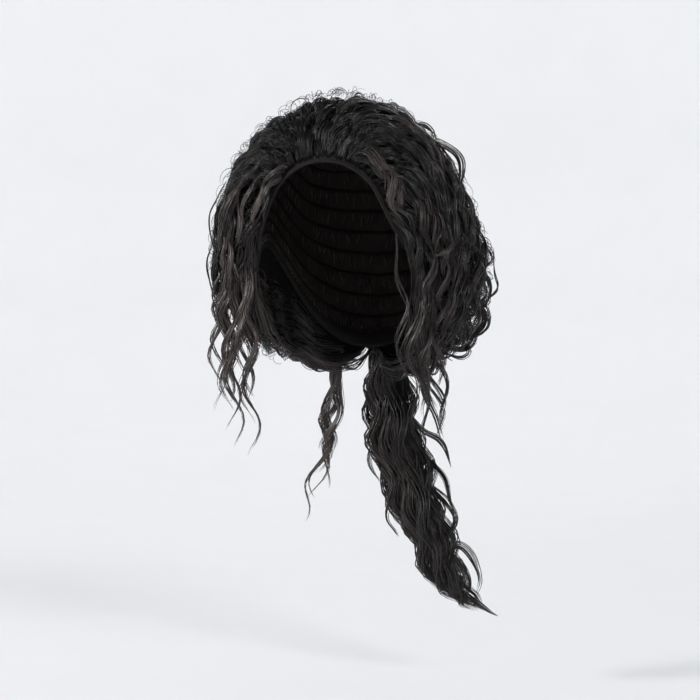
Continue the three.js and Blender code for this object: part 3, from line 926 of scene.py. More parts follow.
# %% Falling locks
FALLING = {
    "hang": 0.75, "stations": 18, "length": (60, 115), "rooted": 0.4, "ragged": 14, "taper": 0.5,
    "wave": (34, 54), "sway": (3.2, 6.2), "rise": (1.2, 2.8), "calm": 1, "tuck": 0,
    "tones": (-0.3, 0.3), "shade": 0.8, "radius": WISP_RADIUS,
}
LOOPING = {
    **FALLING,
    "hang": 0, "stations": 26, "length": (130, 160), "rooted": 1.0, "ragged": 4, "taper": 0,
    "tuck": 3, "radius": 0.3,
}
FALLS = [
    {"section": RIGHT_SIDE, "kind": FALLING, "locks": 12, "fibres": 29, "girth": 3.8, "bow": (0, 1),
     "dark": 70, "across": (0.12, 0.4), "onward": (0.45, 0.7), "along": (0.0, 0.1), "drift": (0.18, 0.34)},
    {"section": RIGHT_FRONT, "kind": FALLING, "locks": 15, "fibres": 28, "girth": 3.8, "bow": (0, 1),
     "dark": 120, "across": (0.25, 0.6), "onward": (0.42, 0.66), "along": (0.0, 0.12), "drift": (0.1, 0.3)},
    {"section": RIGHT_FRONT, "kind": FALLING, "locks": 6, "fibres": 22, "girth": 2.4, "bow": (1, 3),
     "dark": 140, "across": (0.3, 0.5), "onward": (0.5, 0.7), "along": (0.0, 0.02), "drift": (0.02, 0.06)},
    {"section": RIGHT_FRONT, "kind": LOOPING, "locks": 5, "fibres": 10, "girth": 1.0, "bow": (3.1, 3.4),
     "dark": 40, "across": (0.5, 0.85), "onward": (0.2, 0.3), "along": (0.2, 0.6), "drift": (0.0, 0.1)},
    {"section": LEFT_SIDE, "kind": FALLING, "locks": 12, "fibres": 29, "girth": 3.8, "bow": (0, 1),
     "dark": 60, "across": (0.02, 0.35), "onward": (0.45, 0.65), "along": (0.0, 0.1), "drift": (0.3, 0.55)},
    {"section": LEFT_FRONT, "kind": FALLING, "locks": 18, "fibres": 29, "girth": 3.8, "bow": (0, 1),
     "dark": 45, "across": (0.2, 0.65), "onward": (0.4, 0.6), "along": (0.0, 0.15), "drift": (0.2, 0.45)},
    {"section": LEFT_FRONT, "kind": FALLING, "locks": 7, "fibres": 17, "girth": 2.8, "bow": (1, 3),
     "dark": 45, "across": (0.25, 0.5), "onward": (0.45, 0.6), "along": (0.0, 0.03), "drift": (0.05, 0.12)},
    {"section": LEFT_FRONT, "kind": LOOPING, "locks": 6, "fibres": 10, "girth": 1.0, "bow": (4.1, 7),
     "dark": 40, "across": (0.5, 0.8), "onward": (0.15, 0.25), "along": (0.25, 0.7), "drift": (0.0, 0.1)},
]
FALL_CURVE = 1.4
FALL_DEPTH = 0.5
FALL_LEVELS = (0.94, 1.08)
FACE_LIGHT = 0.7
FACE_TO_BACK = (0.03, 0.4)


def lerp(low, high, share):
    """The value a share of the way from low to high."""
    return low + (high - low) * share


def falling_locks(rng, section, row):
    """The locks of one row of the table, which belong to a section."""
    p = np.linspace(0, 1, PATH_POINTS)
    kind = row["kind"]
    side = np.sign(section["from"] + section["to"])
    blocks = []
    for index in range(row["locks"]):
        across = rng.uniform(*row["across"]) + rng.uniform(*row["onward"]) * p**FALL_CURVE
        across = side * across
        start = rng.uniform(*row["along"])
        along = start + rng.uniform(*row["drift"]) * (1 - (1 - p) ** 2)
        behind = smoothstep(along[-1], *FACE_TO_BACK)
        lift = section["level"] * rng.uniform(*FALL_LEVELS) * hair_lift(across, along)
        bow = rng.uniform(*row["bow"])
        path = comb_point(across, along, lift + bow * np.sin(np.pi * p))
        out = path - COMB_CENTRE
        widest = np.maximum.accumulate(np.abs(path[:, 0]))
        path[:, 0] = np.sign(path[:, 0]) * lerp(np.abs(path[:, 0]), widest, kind["hang"])
        lock = drawn_lock(
            rng,
            kind,
            section["tone"] + FACE_LIGHT * (0.5 - behind),
            fibres=row["fibres"],
            width=np.full(PATH_POINTS, row["girth"]),
            depth=np.full(PATH_POINTS, FALL_DEPTH * row["girth"]),
            phase=GOLDEN_TURN * index,
            dark=row["dark"],
        )
        blocks.append(lock_fibres(rng, path, out, lock))
    return blocks


print("falling locks:", sum(row["locks"] for row in FALLS))

# %% [markdown]
# ## Frizz
# Waved synthetic hair never lies flat: short ends come out of the locks and roll up in small
# ringlets along the outline. They could be scattered as copies of one curl, but the eye finds copies
# at once. A ringlet is the path of a point on a rolling wheel, so each fibre goes forward over the
# hair while it circles. A few fibres roll together, and none stands straight up.

# %% Frizz fibres
FRIZZ = [
    {"section": RIGHT_FRONT, "groups": 36, "along": (0.05, 0.7), "curl": (0.8, 2.4)},
    {"section": RIGHT_SIDE, "groups": 52, "along": (0.05, 0.6), "curl": (0.9, 2.6)},
    {"section": CROWN, "groups": 92, "along": (0.12, 0.65), "curl": (0.8, 2.4)},
    {"section": LEFT_SIDE, "groups": 60, "along": (0.05, 0.7), "curl": (0.9, 2.8)},
    {"section": LEFT_FRONT, "groups": 40, "along": (0.1, 0.75), "curl": (0.9, 2.8)},
]
FRIZZ_STATIONS = 12
FRIZZ_IN_GROUP = 4
FRIZZ_RADIUS = 0.2
FRIZZ_LEVEL = 0.98
FRIZZ_DRIFT = (5, 16)
FRIZZ_LEAN = (-1.3, 1.3)
FRIZZ_TURNS = (0.9, 1.9)
FRIZZ_ENDS = (0.6, 1.0)
FRIZZ_TONES = (0.05, 0.35)
# How far the fibres of one group stray from its place, curl, drift, lean and turns.
FRIZZ_STRAY = {"place": 0.02, "curl": 0.4, "drift": 3.0, "lean": 0.5, "turns": 0.25}
FRIZZ_ARCH = 1.5
FRIZZ_SINK = 0.8
FRIZZ_STRETCH = 1.2
LOOK_AHEAD = 0.01


def frizz_fibres(rng, section, row):
    """Short ends that roll forward over a section in small groups."""
    group = np.repeat(np.arange(row["groups"]), FRIZZ_IN_GROUP)
    size = len(group)

    def drawn(low, high, kind):
        """A number for each fibre: one for its group, and a small stray of its own."""
        middle = rng.uniform(low, high, row["groups"])[group]
        return (middle + rng.normal(0, FRIZZ_STRAY[kind], size))[:, None]

    across = drawn(section["from"], section["to"], "place")
    along = drawn(*row["along"], "place")
    further = along + LOOK_AHEAD
    base = comb_point(across, along, FRIZZ_LEVEL * hair_lift(across, along))
    onward = comb_point(across, further, FRIZZ_LEVEL * hair_lift(across, further))
    ahead = unit(onward - base)
    out = unit(base - COMB_CENTRE)
    side = np.cross(ahead, out)
    curl = drawn(*row["curl"], "curl")
    drift = drawn(*FRIZZ_DRIFT, "drift")
    lean = drawn(*FRIZZ_LEAN, "lean")
    t = np.linspace(0, 1, FRIZZ_STATIONS) * rng.uniform(*FRIZZ_ENDS, (size, 1))
    angle = 2 * np.pi * drawn(*FRIZZ_TURNS, "turns") * t
    forward = drift * t - FRIZZ_STRETCH * curl * np.sin(angle)
    upward = curl * (1 - np.cos(angle)) + FRIZZ_ARCH * np.sin(np.pi * t) - FRIZZ_SINK
    lines = base + (forward * np.cos(lean))[..., None] * ahead
    lines = lines + (forward * np.sin(lean))[..., None] * side + upward[..., None] * out
    tones = rng.uniform(*FRIZZ_TONES, size)
    return spindles(lines, wisp_radii(rng, size, FRIZZ_STATIONS, FRIZZ_RADIUS), tones)


print("frizz groups:", sum(row["groups"] for row in FRIZZ))

# %% [markdown]
# ## Loose locks beside the face
# A few thin locks are left out of the ponytail and hang beside the face in long open waves, and one
# hangs at the nape. A row of the table says where a lock leaves the hair, where it hangs plumb and
# where it ends. Its fibres follow one waving line and circle it slowly, in three strands of different
# lengths, so the lock parts and closes as it hangs and ends in a few single wisps.

# %% Loose lock fibres
LOOSE_LOCKS = [
    {"section": RIGHT_FRONT, "girth": 4,
     "root": (-82, -38, -88), "hang": (-98, -42), "tip": (-94, -46, -236)},
    {"section": RIGHT_FRONT, "girth": 6,
     "root": (-82, -42, -98), "hang": (-89, -48), "tip": (-78, -50, -264)},
    {"section": RIGHT_FRONT, "girth": 6,
     "root": (-76, -48, -104), "hang": (-80, -52), "tip": (-84, -50, -250)},
    {"section": RIGHT_FRONT, "girth": 6,
     "root": (-68, -54, -110), "hang": (-68, -56), "tip": (-64, -52, -270)},
    {"section": RIGHT_FRONT, "girth": 6,
     "root": (-86, -34, -92), "hang": (-93, -41), "tip": (-86, -46, -214)},
    {"section": RIGHT_FRONT, "girth": 7,
     "root": (-78, -46, -102), "hang": (-82, -50), "tip": (-77, -50, -224)},
    {"section": RIGHT_FRONT, "girth": 7,
     "root": (-71, -51, -108), "hang": (-71, -54), "tip": (-68, -54, -226)},
    {"section": RIGHT_FRONT, "girth": 5,
     "root": (-28, 56, -182), "hang": (-35, 64), "tip": (-57, 66, -332)},
    {"section": RIGHT_FRONT, "girth": 5,
     "root": (-25, 58, -182), "hang": (-36, 67), "tip": (-48, 66, -314)},
    {"section": RIGHT_FRONT, "girth": 4,
     "root": (-22, 57, -182), "hang": (-32, 66), "tip": (-44, 67, -306)},
    {"section": LEFT_FRONT, "girth": 2,
     "root": (54, -66, -92), "hang": (57, -57), "tip": (66, -36, -256)},
    {"section": LEFT_FRONT, "girth": 6,
     "root": (72, -46, -122), "hang": (66, -52), "tip": (72, -30, -262)},
    {"section": LEFT_FRONT, "girth": 7,
     "root": (74, -42, -126), "hang": (71, -46), "tip": (78, -24, -256)},
    {"section": LEFT_FRONT, "girth": 6,
     "root": (76, -40, -126), "hang": (77, -42), "tip": (82, -20, -250)},
]
LOOSE_WAVE_LENGTH = 60
LOOSE_WAVE_SPREAD = (0.85, 1.1)
LOOSE_WAVE = 5.5
LOOSE_WAVE_FLAT = 0.6
LOOSE_SWINGS = (0.85, 1.2)
LOOSE_FALL = 70
LOOSE_DRIFT_FROM = 0.45
LOOSE_ENDS = (0.86, 1.0)
LOOSE_STATIONS = 24
LOOSE_RADIUS = 0.36
LOOSE_SHADE = 0.22
LOOSE_TONES = (-0.15, 0.4)
FIBRES_PER_GIRTH = 5.5
STRAND_REACH = np.array([1.0, 0.86, 0.72])
STRAND_PHASES = (-1.3, 1.3)
STRAND_APART = 0.55
STRAND_APART_AT_ROOT = 0.4
STRAND_FLAT = 0.7
STRAND_GIRTH = 0.4
STRAND_TAPER = 0.75
STRAND_TAPER_FROM = 0.4
STRAND_TURNS = (0.6, 1.1)


def loose_fibres(rng, index, row, tone):
    """The fibres of one loose lock, which parts into three strands of different lengths."""
    count = int(FIBRES_PER_GIRTH * row["girth"])
    size = (count, 1)
    strand = rng.integers(0, len(STRAND_REACH), count)
    strand_phase = rng.uniform(*STRAND_PHASES, len(STRAND_REACH))[strand][:, None]
    strand_turn = (rng.uniform(0, 2 * np.pi) + 2 * np.pi * strand / len(STRAND_REACH))[:, None]
    t = np.linspace(0, 1, LOOSE_STATIONS) * STRAND_REACH[strand][:, None]
    t = t * rng.uniform(*LOOSE_ENDS, size)
    root, tip, hang = row["root"], row["tip"], row["hang"]
    drop = (root[2] - tip[2]) * t
    fallen = smoothstep(drop, 0, LOOSE_FALL)
    drift = smoothstep(t, LOOSE_DRIFT_FROM, 1)
    swing = LOOSE_WAVE * fallen * rng.uniform(*LOOSE_SWINGS, size)
    own_wave = LOOSE_WAVE_LENGTH * rng.uniform(*LOOSE_WAVE_SPREAD)
    wave = 2 * np.pi * drop / own_wave + GOLDEN_TURN * index + strand_phase * fallen
    wave = wave + rng.normal(0, PHASE_SPREAD, size)
    apart = STRAND_APART * row["girth"] * lerp(STRAND_APART_AT_ROOT, 1, fallen)
    bundle = STRAND_GIRTH * row["girth"] * np.sqrt(rng.random(size))
    bundle = bundle * (1 - STRAND_TAPER * smoothstep(t, STRAND_TAPER_FROM, 1))
    circling = rng.uniform(0, 2 * np.pi, size) + 2 * np.pi * t * rng.uniform(*STRAND_TURNS, size)
    x = lerp(lerp(root[0], hang[0], fallen), tip[0], drift)
    y = lerp(lerp(root[1], hang[1], fallen), tip[1], drift)
    x = x + swing * np.sin(wave) + apart * np.cos(strand_turn) + bundle * np.cos(circling)
    y = y + LOOSE_WAVE_FLAT * swing * np.cos(wave) + STRAND_FLAT * apart * np.sin(strand_turn)
    lines = np.stack([x, y + bundle * np.sin(circling), root[2] - drop], axis=2)
    # The section's tone brings its painted light and shade, and a loose lock is a little darker than that.
    tones = tone - LOOSE_SHADE + rng.uniform(*LOOSE_TONES, count)
    return spindles(lines, wisp_radii(rng, count, LOOSE_STATIONS, LOOSE_RADIUS), tones)


print("loose locks:", len(LOOSE_LOCKS))

# %% [markdown]
# ## Filling under the locks
# Where locks part, the eye should meet more hair and not a bare layer. More locks would thicken the
# outline, so short fibres, darker with painted shade, are laid between the underlayer and the locks
# instead: most of them along the free edge beside the face, and some behind the hairline. A row of the
# table says how far they reach in from that edge, how closely they crowd it, and between which shares
# of the hair's height they lie.

# %% Filling fibres
FRONTS = (RIGHT_FRONT, LEFT_FRONT)
TOPS = (RIGHT_SIDE, CROWN, LEFT_SIDE)
FILLING = [
    {"sections": FRONTS, "fibres": 160, "along": (0.02, 0.8), "reach": 1.0, "crowd": 2,
     "low": 0.3, "high": 0.8},
    {"sections": FRONTS, "fibres": 80, "along": (0.02, 0.8), "reach": 0.16, "crowd": 2,
     "low": 0.1, "high": 0.7},
    {"sections": TOPS, "fibres": 64, "along": (0.0, 0.2), "reach": 1.0, "crowd": 1,
     "low": 0.4, "high": 0.8},
]
FILLING_STATIONS = 12
FILLING_LENGTH = 0.18
FILLING_SHADE = 0.6
FILLING_TONES = (-0.1, 0.2)
LAID_WAVES = 7
LAID_PHASE_SPREAD = 0.6
LAID_SWAY = 0.012
LAID_RISE = 0.5


def laid_fibres(rng, across, along, low, high):
    """Fibres laid back along the comb between two heights over the head."""
    size = across.shape
    wave = 2 * np.pi * LAID_WAVES * along + rng.normal(0, LAID_PHASE_SPREAD, size)
    lift = lerp(low, high, rng.random(size)) + LAID_RISE * np.cos(wave)
    return comb_point(across + LAID_SWAY * np.sin(wave), along, lift)


def filling_fibres(rng, section, row):
    """Fibres between the underlayer and the locks of a section, most at its free edge."""
    size = (row["fibres"], 1)
    other, edge = sorted((section["from"], section["to"]), key=abs)
    across = lerp(edge, other, row["reach"] * rng.random(size) ** row["crowd"])
    along = rng.uniform(*row["along"], size) + FILLING_LENGTH * np.linspace(0, 1, FILLING_STATIONS)
    full = hair_lift(across, along)
    lines = laid_fibres(rng, across, along, row["low"] * full, row["high"] * full)
    # Painted shade: a filling fibre takes a share of its section's tone, darker than the lit locks over it.
    tones = FILLING_SHADE * section["tone"] + rng.uniform(*FILLING_TONES, row["fibres"])
    return spindles(lines, wisp_radii(rng, row["fibres"], FILLING_STATIONS, WISP_RADIUS), tones)


print("filling fibres in all:", sum(row["fibres"] * len(row["sections"]) for row in FILLING))

# %% [markdown]
# ## The rim of the cap
# The cap ends in a rim that comes low in front of the ears, rises over them and drops to the nape.
# Blender could cut it with a boolean, but the rim is needed in three places below: for the hair that
# hangs past it, the net and the ribbon. So it is a short table of drops below the crown, by the turn
# in degrees from the middle of the forehead.

# %% Rim of the cap
CAP_RIM = [
    {"turn": 0, "drop": 43},
    {"turn": 10, "drop": 45},
    {"turn": 19, "drop": 52},
    {"turn": 26, "drop": 62},
    {"turn": 34, "drop": 86},
    {"turn": 46, "drop": 108},
    {"turn": 59, "drop": 122},
    {"turn": 73, "drop": 124},
    {"turn": 88, "drop": 107},
    {"turn": 104, "drop": 103},
    {"turn": 122, "drop": 124},
    {"turn": 142, "drop": 160},
    {"turn": 160, "drop": 177},
    {"turn": 180, "drop": 182},
]
RIM_TURNS = [row["turn"] for row in CAP_RIM]
RIM_DROPS = np.array([row["drop"] for row in CAP_RIM], float)


def rim_drop(turn):
    """Drop of the rim below the crown at a turn in degrees. Both sides are alike."""
    turn = np.mod(turn, 360)
    return table_weights(RIM_TURNS, np.minimum(turn, 360 - turn)) @ RIM_DROPS


print("the rim comes down to", round(RIM_DROPS.max()), "mm below the crown")

# %% [markdown]
# ## The inside of the hair
# Below the rim of the cap nothing covers the hair from inside, and from the front the eye looks
# straight onto it. Fibres are laid there too. They are thrown over the whole section, and one is kept
# only where it stays clear below the rim, which is simpler than working out where the net ends.

# %% Inside fibres
INSIDE_FIBRES = 760
INSIDE_STATIONS = 8
INSIDE_ALONG = (0.15, 0.84)
INSIDE_LENGTH = (0.04, 0.13)
INSIDE_LOW = 0.6
INSIDE_HIGH = 2.0
INSIDE_TONES = (0, 0.4)
RIM_CLEARANCE = 1


def inside_fibres(rng, section):
    """Fibres on the inside of a section, where the cap doesn't cover it."""
    size = (INSIDE_FIBRES, 1)
    across = rng.uniform(section["from"], section["to"], size)
    start = rng.uniform(*INSIDE_ALONG, size)
    along = start + rng.uniform(*INSIDE_LENGTH, size) * np.linspace(0, 1, INSIDE_STATIONS)
    lines = laid_fibres(rng, across, along, INSIDE_LOW, INSIDE_HIGH)
    turn = np.degrees(np.arctan2(lines[..., 0], -lines[..., 1]))
    is_clear = (lines[..., 2] < -rim_drop(turn) - RIM_CLEARANCE).all(axis=1)
    lines = lines[is_clear]
    radii = wisp_radii(rng, len(lines), INSIDE_STATIONS, WISP_RADIUS)
    return spindles(lines, radii, rng.uniform(*INSIDE_TONES, len(lines)))


print("fibres tried inside each front section:", INSIDE_FIBRES)

# %% [markdown]
# ## Curls on the outline
# A few single curls leave the mass and catch the eye: a coil on the crown, arcs down both sides and
# small closed loops below the fuller side. Chance would never put them in the right place, so each
# is a thin lock along a smooth curve through a few points, given as x and z, which start and end in
# the hair.

# %% Curls
CURLS = [
    {"section": LEFT_SIDE, "y": 24, "girth": 3.4, "fibres": 24,
     "stops": [(56, -16), (69, -20), (79, -28), (85, -38), (86, -50), (80, -66)]},
    {"section": LEFT_SIDE, "y": 26, "girth": 3.0, "fibres": 20,
     "stops": [(58, -24), (69, -29), (77, -37), (82, -49), (77, -62)]},
    {"section": LEFT_FRONT, "y": 28, "girth": 1.8, "fibres": 10,
     "stops": [(88, -98), (101, -101), (110, -109), (110, -117), (97, -124)]},
    {"section": LEFT_FRONT, "y": 29, "girth": 1.8, "fibres": 11,
     "stops": [(92, -122), (105, -126), (109, -135), (104, -148), (94, -158)]},
    {"section": LEFT_FRONT, "y": 28, "girth": 2.2, "fibres": 14,
     "stops": [(95, -146), (104, -156), (107, -166), (100, -173), (82, -175)]},
    {"section": LEFT_FRONT, "y": 27, "girth": 4.0, "fibres": 40,
     "stops": [(84, -138), (98, -148), (104, -160), (100, -171), (86, -177), (70, -177)]},
    {"section": LEFT_FRONT, "y": 26, "girth": 3.2, "fibres": 28,
     "stops": [(78, -158), (91, -166), (95, -176), (87, -184), (68, -184)]},
    {"section": LEFT_FRONT, "y": 25, "girth": 1.8, "fibres": 10,
     "stops": [(70, -174), (84, -180), (91, -188), (84, -193), (68, -186)]},
    {"section": LEFT_FRONT, "y": -24, "girth": 3.6, "fibres": 36,
     "stops": [(58, -172), (62, -196), (67, -216), (73, -233), (78, -247), (82, -258)]},
    {"section": LEFT_FRONT, "y": 18, "girth": 1.4, "fibres": 8,
     "stops": [(50, -186), (62, -194), (69, -201), (65, -206), (57, -202), (58, -190)]},
    {"section": RIGHT_FRONT, "y": -26, "girth": 2.2, "fibres": 16,
     "stops": [(-78, -50), (-92, -56), (-100, -67), (-102, -81), (-95, -98)]},
    {"section": RIGHT_FRONT, "y": -26, "girth": 2.0, "fibres": 13,
     "stops": [(-88, -98), (-100, -108), (-102, -122), (-97, -136), (-87, -148)]},
    {"section": RIGHT_SIDE, "y": -10, "girth": 0.5, "fibres": 3,
     "stops": [(-46, 1), (-46, 11), (-41, 15), (-35, 14), (-30, 5)]},
    {"section": CROWN, "y": 2, "girth": 1.0, "fibres": 7,
     "stops": [(0, 6), (0, 15), (4, 20), (9, 18), (8, 12), (3, 12), (5, 16)]},
    {"section": CROWN, "y": 8, "girth": 1.2, "fibres": 7,
     "stops": [(20, 4), (31, 11), (37, 9), (38, 3), (30, -4)]},
    {"section": LEFT_SIDE, "y": 14, "girth": 1.4, "fibres": 7,
     "stops": [(44, -8), (56, -5), (63, -10), (65, -16), (56, -28)]},
    {"section": LEFT_SIDE, "y": 40, "girth": 1.2, "fibres": 6,
     "stops": [(36, -5), (48, -3), (57, -8), (60, -14), (54, -22)]},
]
CURLED = {
    "stations": 18, "length": (30, 90), "rooted": 0.85, "ragged": 8, "taper": 0.7,
    "wave": 40, "sway": 1.0, "rise": 0.8, "calm": 1, "tuck": 0,
    "tones": (0.0, 0.2), "shade": 0.5, "dark": 32, "radius": 0.3,
}
CURL_DEPTH = 4
FORWARDS = np.array([0.0, -1.0, 0.0])


def path_through(stops):
    """A dense smooth line through a few points."""
    return table_weights(np.linspace(0, 1, len(stops)), np.linspace(0, 1, PATH_POINTS)) @ stops


def curled_lock(rng, index, row):
    """A thin lock along a curve through the stops of a row, which sways in depth."""
    stops = np.array([(x, row["y"], z) for x, z in row["stops"]], float)
    stops[:, 1] += CURL_DEPTH * np.sin(np.arange(len(stops)) + index)
    girth = np.full(PATH_POINTS, row["girth"])
    lock = drawn_lock(
        rng, CURLED, fibres=row["fibres"], width=girth, depth=girth, phase=GOLDEN_TURN * index
    )
    return lock_fibres(rng, path_through(stops), np.tile(FORWARDS, (PATH_POINTS, 1)), lock)


print("curls on the outline:", len(CURLS))

# %% [markdown]
# ## Sections on the cap
# Now the five sections are put together, each from its own seed, so that a change to one leaves the
# others as they were. A section could be an object for each kind of lock, but on the wig it is sewn
# on as one weft, so it is one piece: the matted layer below and all its fibres over it.

# %% Sections on the cap
FIRST_SECTION_SEED = 11
SHINY, MATTED = 0, 1

for seed, section in enumerate(SECTIONS, FIRST_SECTION_SEED):
    rng = np.random.default_rng(seed)
    node = section["name"]
    fibres = swept_locks(rng, section)
    for row in FALLS:
        if row["section"] == node:
            fibres += falling_locks(rng, section, row)
    fibres += [frizz_fibres(rng, section, row) for row in FRIZZ if row["section"] == node]
    for index, row in enumerate(LOOSE_LOCKS):
        if row["section"] == node:
            fibres.append(loose_fibres(rng, index, row, section["tone"]))
    for index, row in enumerate(CURLS):
        if row["section"] == node:
            fibres.append(curled_lock(rng, index, row))
    fibres += [filling_fibres(rng, section, row) for row in FILLING if node in row["sections"]]
    if node in FRONTS:
        fibres.append(inside_fibres(rng, section))
    place_on_map(fibres, FIBRE_MAP_START, 1)
    blocks = [underlayer(section), *fibres]
    finishes = [MATTED] + [SHINY] * len(fibres)
    mesh_piece(node + "_fibres", node, blocks, [hair_fibre, matted_fibre], finishes)

# %% [markdown]
# ## Ponytail
# Behind the nape the hair is gathered and falls in one long tail that swings to the wearer's left
# and thins towards its end. Its locks are lined up round one middle line, and each fibre keeps its
# place in its lock while the lock waves. Fibres that each waved alone would give a brush. This way
# the tail shows soft broad waves, with single locks parting from its edge.

# %% Ponytail fibres
PONYTAIL = [
    {"x": 0, "y": 111, "z": -174, "spread": 5},
    {"x": 2, "y": 118, "z": -202, "spread": 16},
    {"x": 7, "y": 118, "z": -246, "spread": 24},
    {"x": 21, "y": 114, "z": -296, "spread": 24},
    {"x": 40, "y": 114, "z": -344, "spread": 20},
    {"x": 60, "y": 120, "z": -390, "spread": 15},
    {"x": 82, "y": 124, "z": -410, "spread": 8},
]
TAIL_SHARES = np.linspace(0, 1, len(PONYTAIL))
TAIL_ROWS = np.array([list(row.values()) for row in PONYTAIL], float)
TAIL_LOCKS = 13
TAIL_LOCK_FIBRES = 50
TAIL_LOCK_GIRTH = 7.5
TAIL_CORE_GIRTH = 15
TAIL_CORE_SWING = 0.4
TAIL_REACH = 0.86
TAIL_STATIONS = 27
TAIL_FLAT = 0.7
# Shares of the tail's length: where its locks and their fibres end, and where later fibres start.
TAIL_LOCK_ENDS = (0.86, 1.0)
TAIL_FIBRE_ENDS = (0.8, 1.0)
TAIL_ROOTED = 0.7
TAIL_LATER_STARTS = (0, 0.3)
TAIL_WAVE = 6.0
TAIL_WAVE_DEPTH = 0.8
TAIL_WAVES = (4.2, 5.6)
TAIL_WAVE_STARTS = (0.05, 0.3)
TAIL_SWINGS = (0.8, 1.25)
TAIL_PHASE_ACROSS = 0.5
TAIL_PHASE_SPREAD = 0.2
# A lock is gathered at the tie, opens at this rate and thins again over the last part of its length.
TAIL_GATHERED = 0.3
TAIL_OPENING = 2.2
TAIL_TAPER = 0.6
TAIL_TAPER_FROM = 0.6
TAIL_LOCK_TONES = (-0.05, 0.25)
TAIL_FIBRE_TONES = (0, 0.35)


def tail_fibres(rng, index):
    """The fibres of one curly lock of the ponytail. Lock 0 is the thick straight core."""
    size = (TAIL_LOCK_FIBRES, 1)
    is_core = index == 0
    girth = TAIL_CORE_GIRTH if is_core else TAIL_LOCK_GIRTH
    reach = TAIL_REACH * np.sqrt(index / TAIL_LOCKS)
    bearing = GOLDEN_TURN * index
    end = rng.uniform(*TAIL_LOCK_ENDS) * rng.uniform(*TAIL_FIBRE_ENDS, size)
    start = np.where(rng.random(size) < TAIL_ROOTED, 0, rng.uniform(*TAIL_LATER_STARTS, size))
    place = start + (end - start) * np.linspace(0, 1, TAIL_STATIONS)
    x, y, z, spread = np.moveaxis(table_weights(TAIL_SHARES, place) @ TAIL_ROWS, 2, 0)
    swing = TAIL_WAVE * smoothstep(place, *TAIL_WAVE_STARTS) * rng.uniform(*TAIL_SWINGS, size)
    swing = swing * (TAIL_CORE_SWING if is_core else 1.0)
    spot = np.sqrt(rng.random(size))
    turn = rng.uniform(0, 2 * np.pi, size)
    wave = 2 * np.pi * rng.uniform(*TAIL_WAVES) * place + 2 * GOLDEN_TURN * index
    wave = wave + TAIL_PHASE_ACROSS * spot * np.cos(turn) + rng.normal(0, TAIL_PHASE_SPREAD, size)
    outward = spread * reach + swing * np.sin(wave)
    sideways = TAIL_WAVE_DEPTH * swing * np.cos(wave)
    bundle = girth * spot * np.minimum(1, TAIL_GATHERED + TAIL_OPENING * place)
    bundle = bundle * (1 - TAIL_TAPER * smoothstep(place, TAIL_TAPER_FROM, 1))
    wide = outward * np.cos(bearing) - sideways * np.sin(bearing) + bundle * np.cos(turn)
    deep = outward * np.sin(bearing) + sideways * np.cos(bearing) + bundle * np.sin(turn)
    lines = np.stack([x + wide, y + TAIL_FLAT * deep, z], axis=2)
    tones = rng.uniform(*TAIL_LOCK_TONES) + rng.uniform(*TAIL_FIBRE_TONES, TAIL_LOCK_FIBRES)
    return spindles(lines, wisp_radii(rng, TAIL_LOCK_FIBRES, TAIL_STATIONS, WISP_RADIUS), tones)


print("locks of the tail:", TAIL_LOCKS)

# %% [markdown]
# ## Gathered roots of the tail
# From behind, hair runs from all round the nape into the tie, and turns down into the tail. The
# swept locks end before the tie and the tail begins below it, so a ring of locks joins them. Each
# leaves the hair, passes through the tie, bends over and ends in the tail.

# %% Gathered roots
TIE_LIFT = 22
TIE_GRIP = 10.5
AXIS_REACH = reach_head(COMB_CENTRE, COMB_AXIS)
TIE_SEAT = COMB_CENTRE + COMB_AXIS * (AXIS_REACH + TIE_LIFT)
ROOT_LOCKS = 16
ROOT_ALONG = (0.74, 0.84, 0.93)
ROOT_LEVEL = 0.97
BEHIND_TIE = 7
BEHIND_SPREAD = 1.5
ROOT_STOPS = [
    {"tail_row": 0, "splay": 9, "shift": (0, 3, -4)},
    {"tail_row": 1, "splay": 13.5, "shift": (0, 0, 0)},
    {"tail_row": 2, "splay": 18, "shift": (0, 0, 0)},
]
SPLAY_FLAT = np.array([1, 0.6, 0])
# The locks bend round a point below and before the tie, so outwards is away from that point.
BEND_INSET = 20
ROOT_BEND = TAIL_ROWS[0, :3] - BEND_INSET * COMB_AXIS - [0, 0, BEND_INSET]
ROOT_GIRTHS = [
    {"place": 0, "girth": 8},
    {"place": 0.42, "girth": 2.2},
    {"place": 0.6, "girth": 3},
    {"place": 1, "girth": 6},
]
ROOT_WIDTHS = np.interp(
    np.linspace(0, 1, PATH_POINTS),
    [row["place"] for row in ROOT_GIRTHS],
    [row["girth"] for row in ROOT_GIRTHS],
)
ROOT_DEPTHS = np.full(PATH_POINTS, 1.6)
GATHERED = {
    "fibres": 14, "stations": 24, "length": (95, 190), "rooted": 0.75, "ragged": 30, "taper": 0.2,
    "wave": (44, 60), "sway": 1.0, "rise": 0.6, "calm": 30, "tuck": 2,
    "tones": (0.0, 0.2), "shade": 0.5, "dark": 32, "radius": WISP_RADIUS,
}


def gathered_lock(rng, index):
    """Fibres that leave the hair round the nape, pass through the tie and turn down into the tail."""
    across = -1 + 2 * (index + 0.5) / ROOT_LOCKS
    outer = [comb_point(across, along, ROOT_LEVEL * hair_lift(across, along)) for along in ROOT_ALONG]
    spoke = outer[-1] - COMB_CENTRE
    spoke = unit(spoke - (spoke @ COMB_AXIS) * COMB_AXIS)
    in_tie = TIE_SEAT + TIE_GRIP * spoke
    stops = [*outer, in_tie, in_tie + BEHIND_TIE * COMB_AXIS + BEHIND_SPREAD * spoke]
    for row in ROOT_STOPS:
        stops.append(TAIL_ROWS[row["tail_row"], :3] + row["splay"] * spoke * SPLAY_FLAT + row["shift"])
    path = path_through(np.array(stops))
    lock = drawn_lock(rng, GATHERED, width=ROOT_WIDTHS, depth=ROOT_DEPTHS, phase=GOLDEN_TURN * index)
    return lock_fibres(rng, path, path - ROOT_BEND, lock)


print("locks gathered in the tie:", ROOT_LOCKS)
